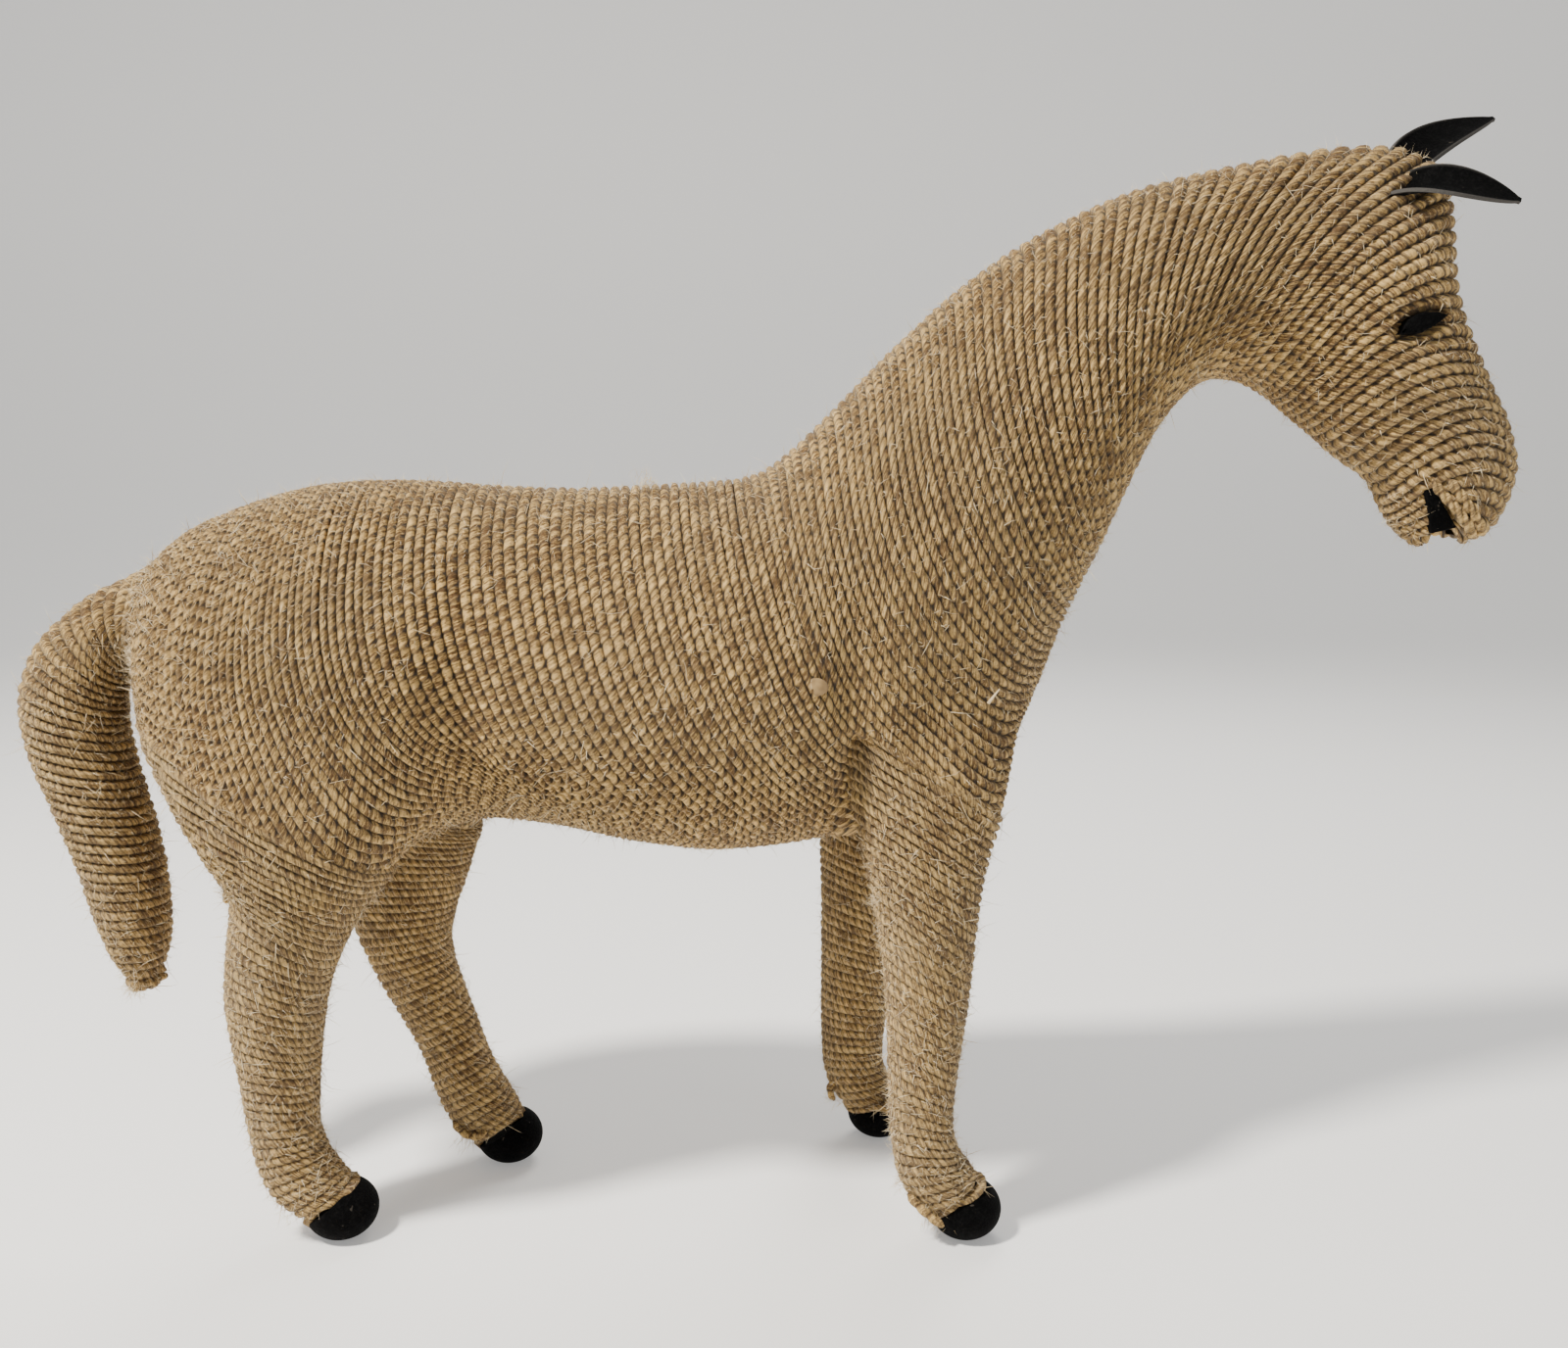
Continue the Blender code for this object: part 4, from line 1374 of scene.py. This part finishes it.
def build_bits():
    """A lump of dried glue on the barrel and a chip of stalk on the shoulder."""
    bm = bmesh.new()
    done = bmesh.ops.create_icosphere(bm, subdivisions=4, radius=1.0)
    rng = np.random.default_rng(SEED + 50)
    waves = rng.normal(0, 2.6, (6, 3))
    shifts = rng.uniform(0, 6.3, 6)
    for vert in done["verts"]:
        swell = sum(math.sin(vert.co.dot(Vector(wave)) + shift) for wave, shift in zip(waves, shifts))
        vert.co = vert.co * (1 + 0.07 * swell)
    bmesh.ops.scale(bm, vec=Vector((4.0, 1.0, 3.0)) * MM, verts=done["verts"])
    place = Vector((8.7, -61.2, 222)) * MM
    bmesh.ops.translate(bm, vec=place, verts=done["verts"])
    piece = piece_from(bm, "glue_lump")
    finish_piece(piece, STUCK, "wound_body")

    bm = bmesh.new()
    bmesh.ops.create_cone(
        bm, cap_ends=True, segments=12, radius1=0.65 * MM, radius2=0.25 * MM, depth=7.0 * MM
    )
    bmesh.ops.rotate(bm, matrix=Matrix.Rotation(math.radians(38), 3, "Y"), verts=bm.verts)
    bmesh.ops.translate(bm, vec=Vector((76.7, -47.0, 215.7)) * MM, verts=bm.verts)
    piece = piece_from(bm, "stalk_chip")
    finish_piece(piece, FIBRE, "wound_body")


build_bits()


def build_stage():
    """A pale floor that sweeps up far behind."""
    bm = bmesh.new()
    bmesh.ops.create_grid(bm, x_segments=1, y_segments=60, size=1.0)
    for vert in bm.verts:
        reach = vert.co.y * 5.0
        rise = max(reach - 2.2, 0.0)
        vert.co = Vector((vert.co.x * 9.0, min(reach, 2.2 + 1.1 * math.sin(min(rise, 1.5))), 0))
        vert.co.z = 1.1 * (1 - math.cos(min(rise, 1.5))) + max(rise - 1.5, 0.0) * 1.6
    floor = piece_from(bm, "studio_floor")
    floor.data.shade_smooth()
    material, shader = begin_material("studio_floor_look")
    shader.inputs["Base Color"].default_value = (0.84, 0.83, 0.81, 1)
    shader.inputs["Roughness"].default_value = 0.9
    shader.inputs["Emission Color"].default_value = (1.0, 0.99, 0.97, 1)
    shader.inputs["Emission Strength"].default_value = 0.28
    floor.data.materials.append(material)


def area_light(name, place, target, size, power, colour):
    data = bpy.data.lights.new(name, "AREA")
    data.shape = "DISK"
    data.size = size
    data.energy = power
    data.color = colour
    lamp = bpy.data.objects.new(name, data)
    lamp.location = place
    lamp.rotation_euler = (Vector(target) - Vector(place)).to_track_quat("-Z", "Y").to_euler()
    bpy.context.scene.collection.objects.link(lamp)


def build_light():
    world = bpy.data.worlds.new("studio")
    world.use_nodes = True
    sky = world.node_tree.nodes["Background"]
    sky.inputs["Color"].default_value = (0.95, 0.97, 1.0, 1)
    sky.inputs["Strength"].default_value = 0.26
    bpy.context.scene.world = world
    area_light("key", (-1.0, -0.62, 1.72), (0, 0, 0.2), 0.26, 80, (1.0, 0.96, 0.89))
    area_light("fill", (1.5, -1.2, 0.7), (0, 0, 0.2), 1.2, 4, (0.97, 0.98, 1.0))
    area_light("rim", (0.3, 1.1, 1.4), (0, 0, 0.25), 0.8, 14, (1.0, 0.98, 0.95))


def build_camera():
    data = bpy.data.cameras.new("photo")
    data.sensor_width = 36.0
    data.lens = 32.625
    data.clip_start = 0.01
    data.clip_end = 30.0
    camera = bpy.data.objects.new("photo", data)
    camera.location = (-0.0351, -0.5739, 0.2907)
    tilt = math.atan(181 / 1450)
    camera.rotation_euler = (math.pi / 2 - tilt, 0, math.radians(-3.5))
    bpy.context.scene.collection.objects.link(camera)
    bpy.context.scene.camera = camera


build_stage()
build_light()
build_camera()
bpy.context.view_layer.update()
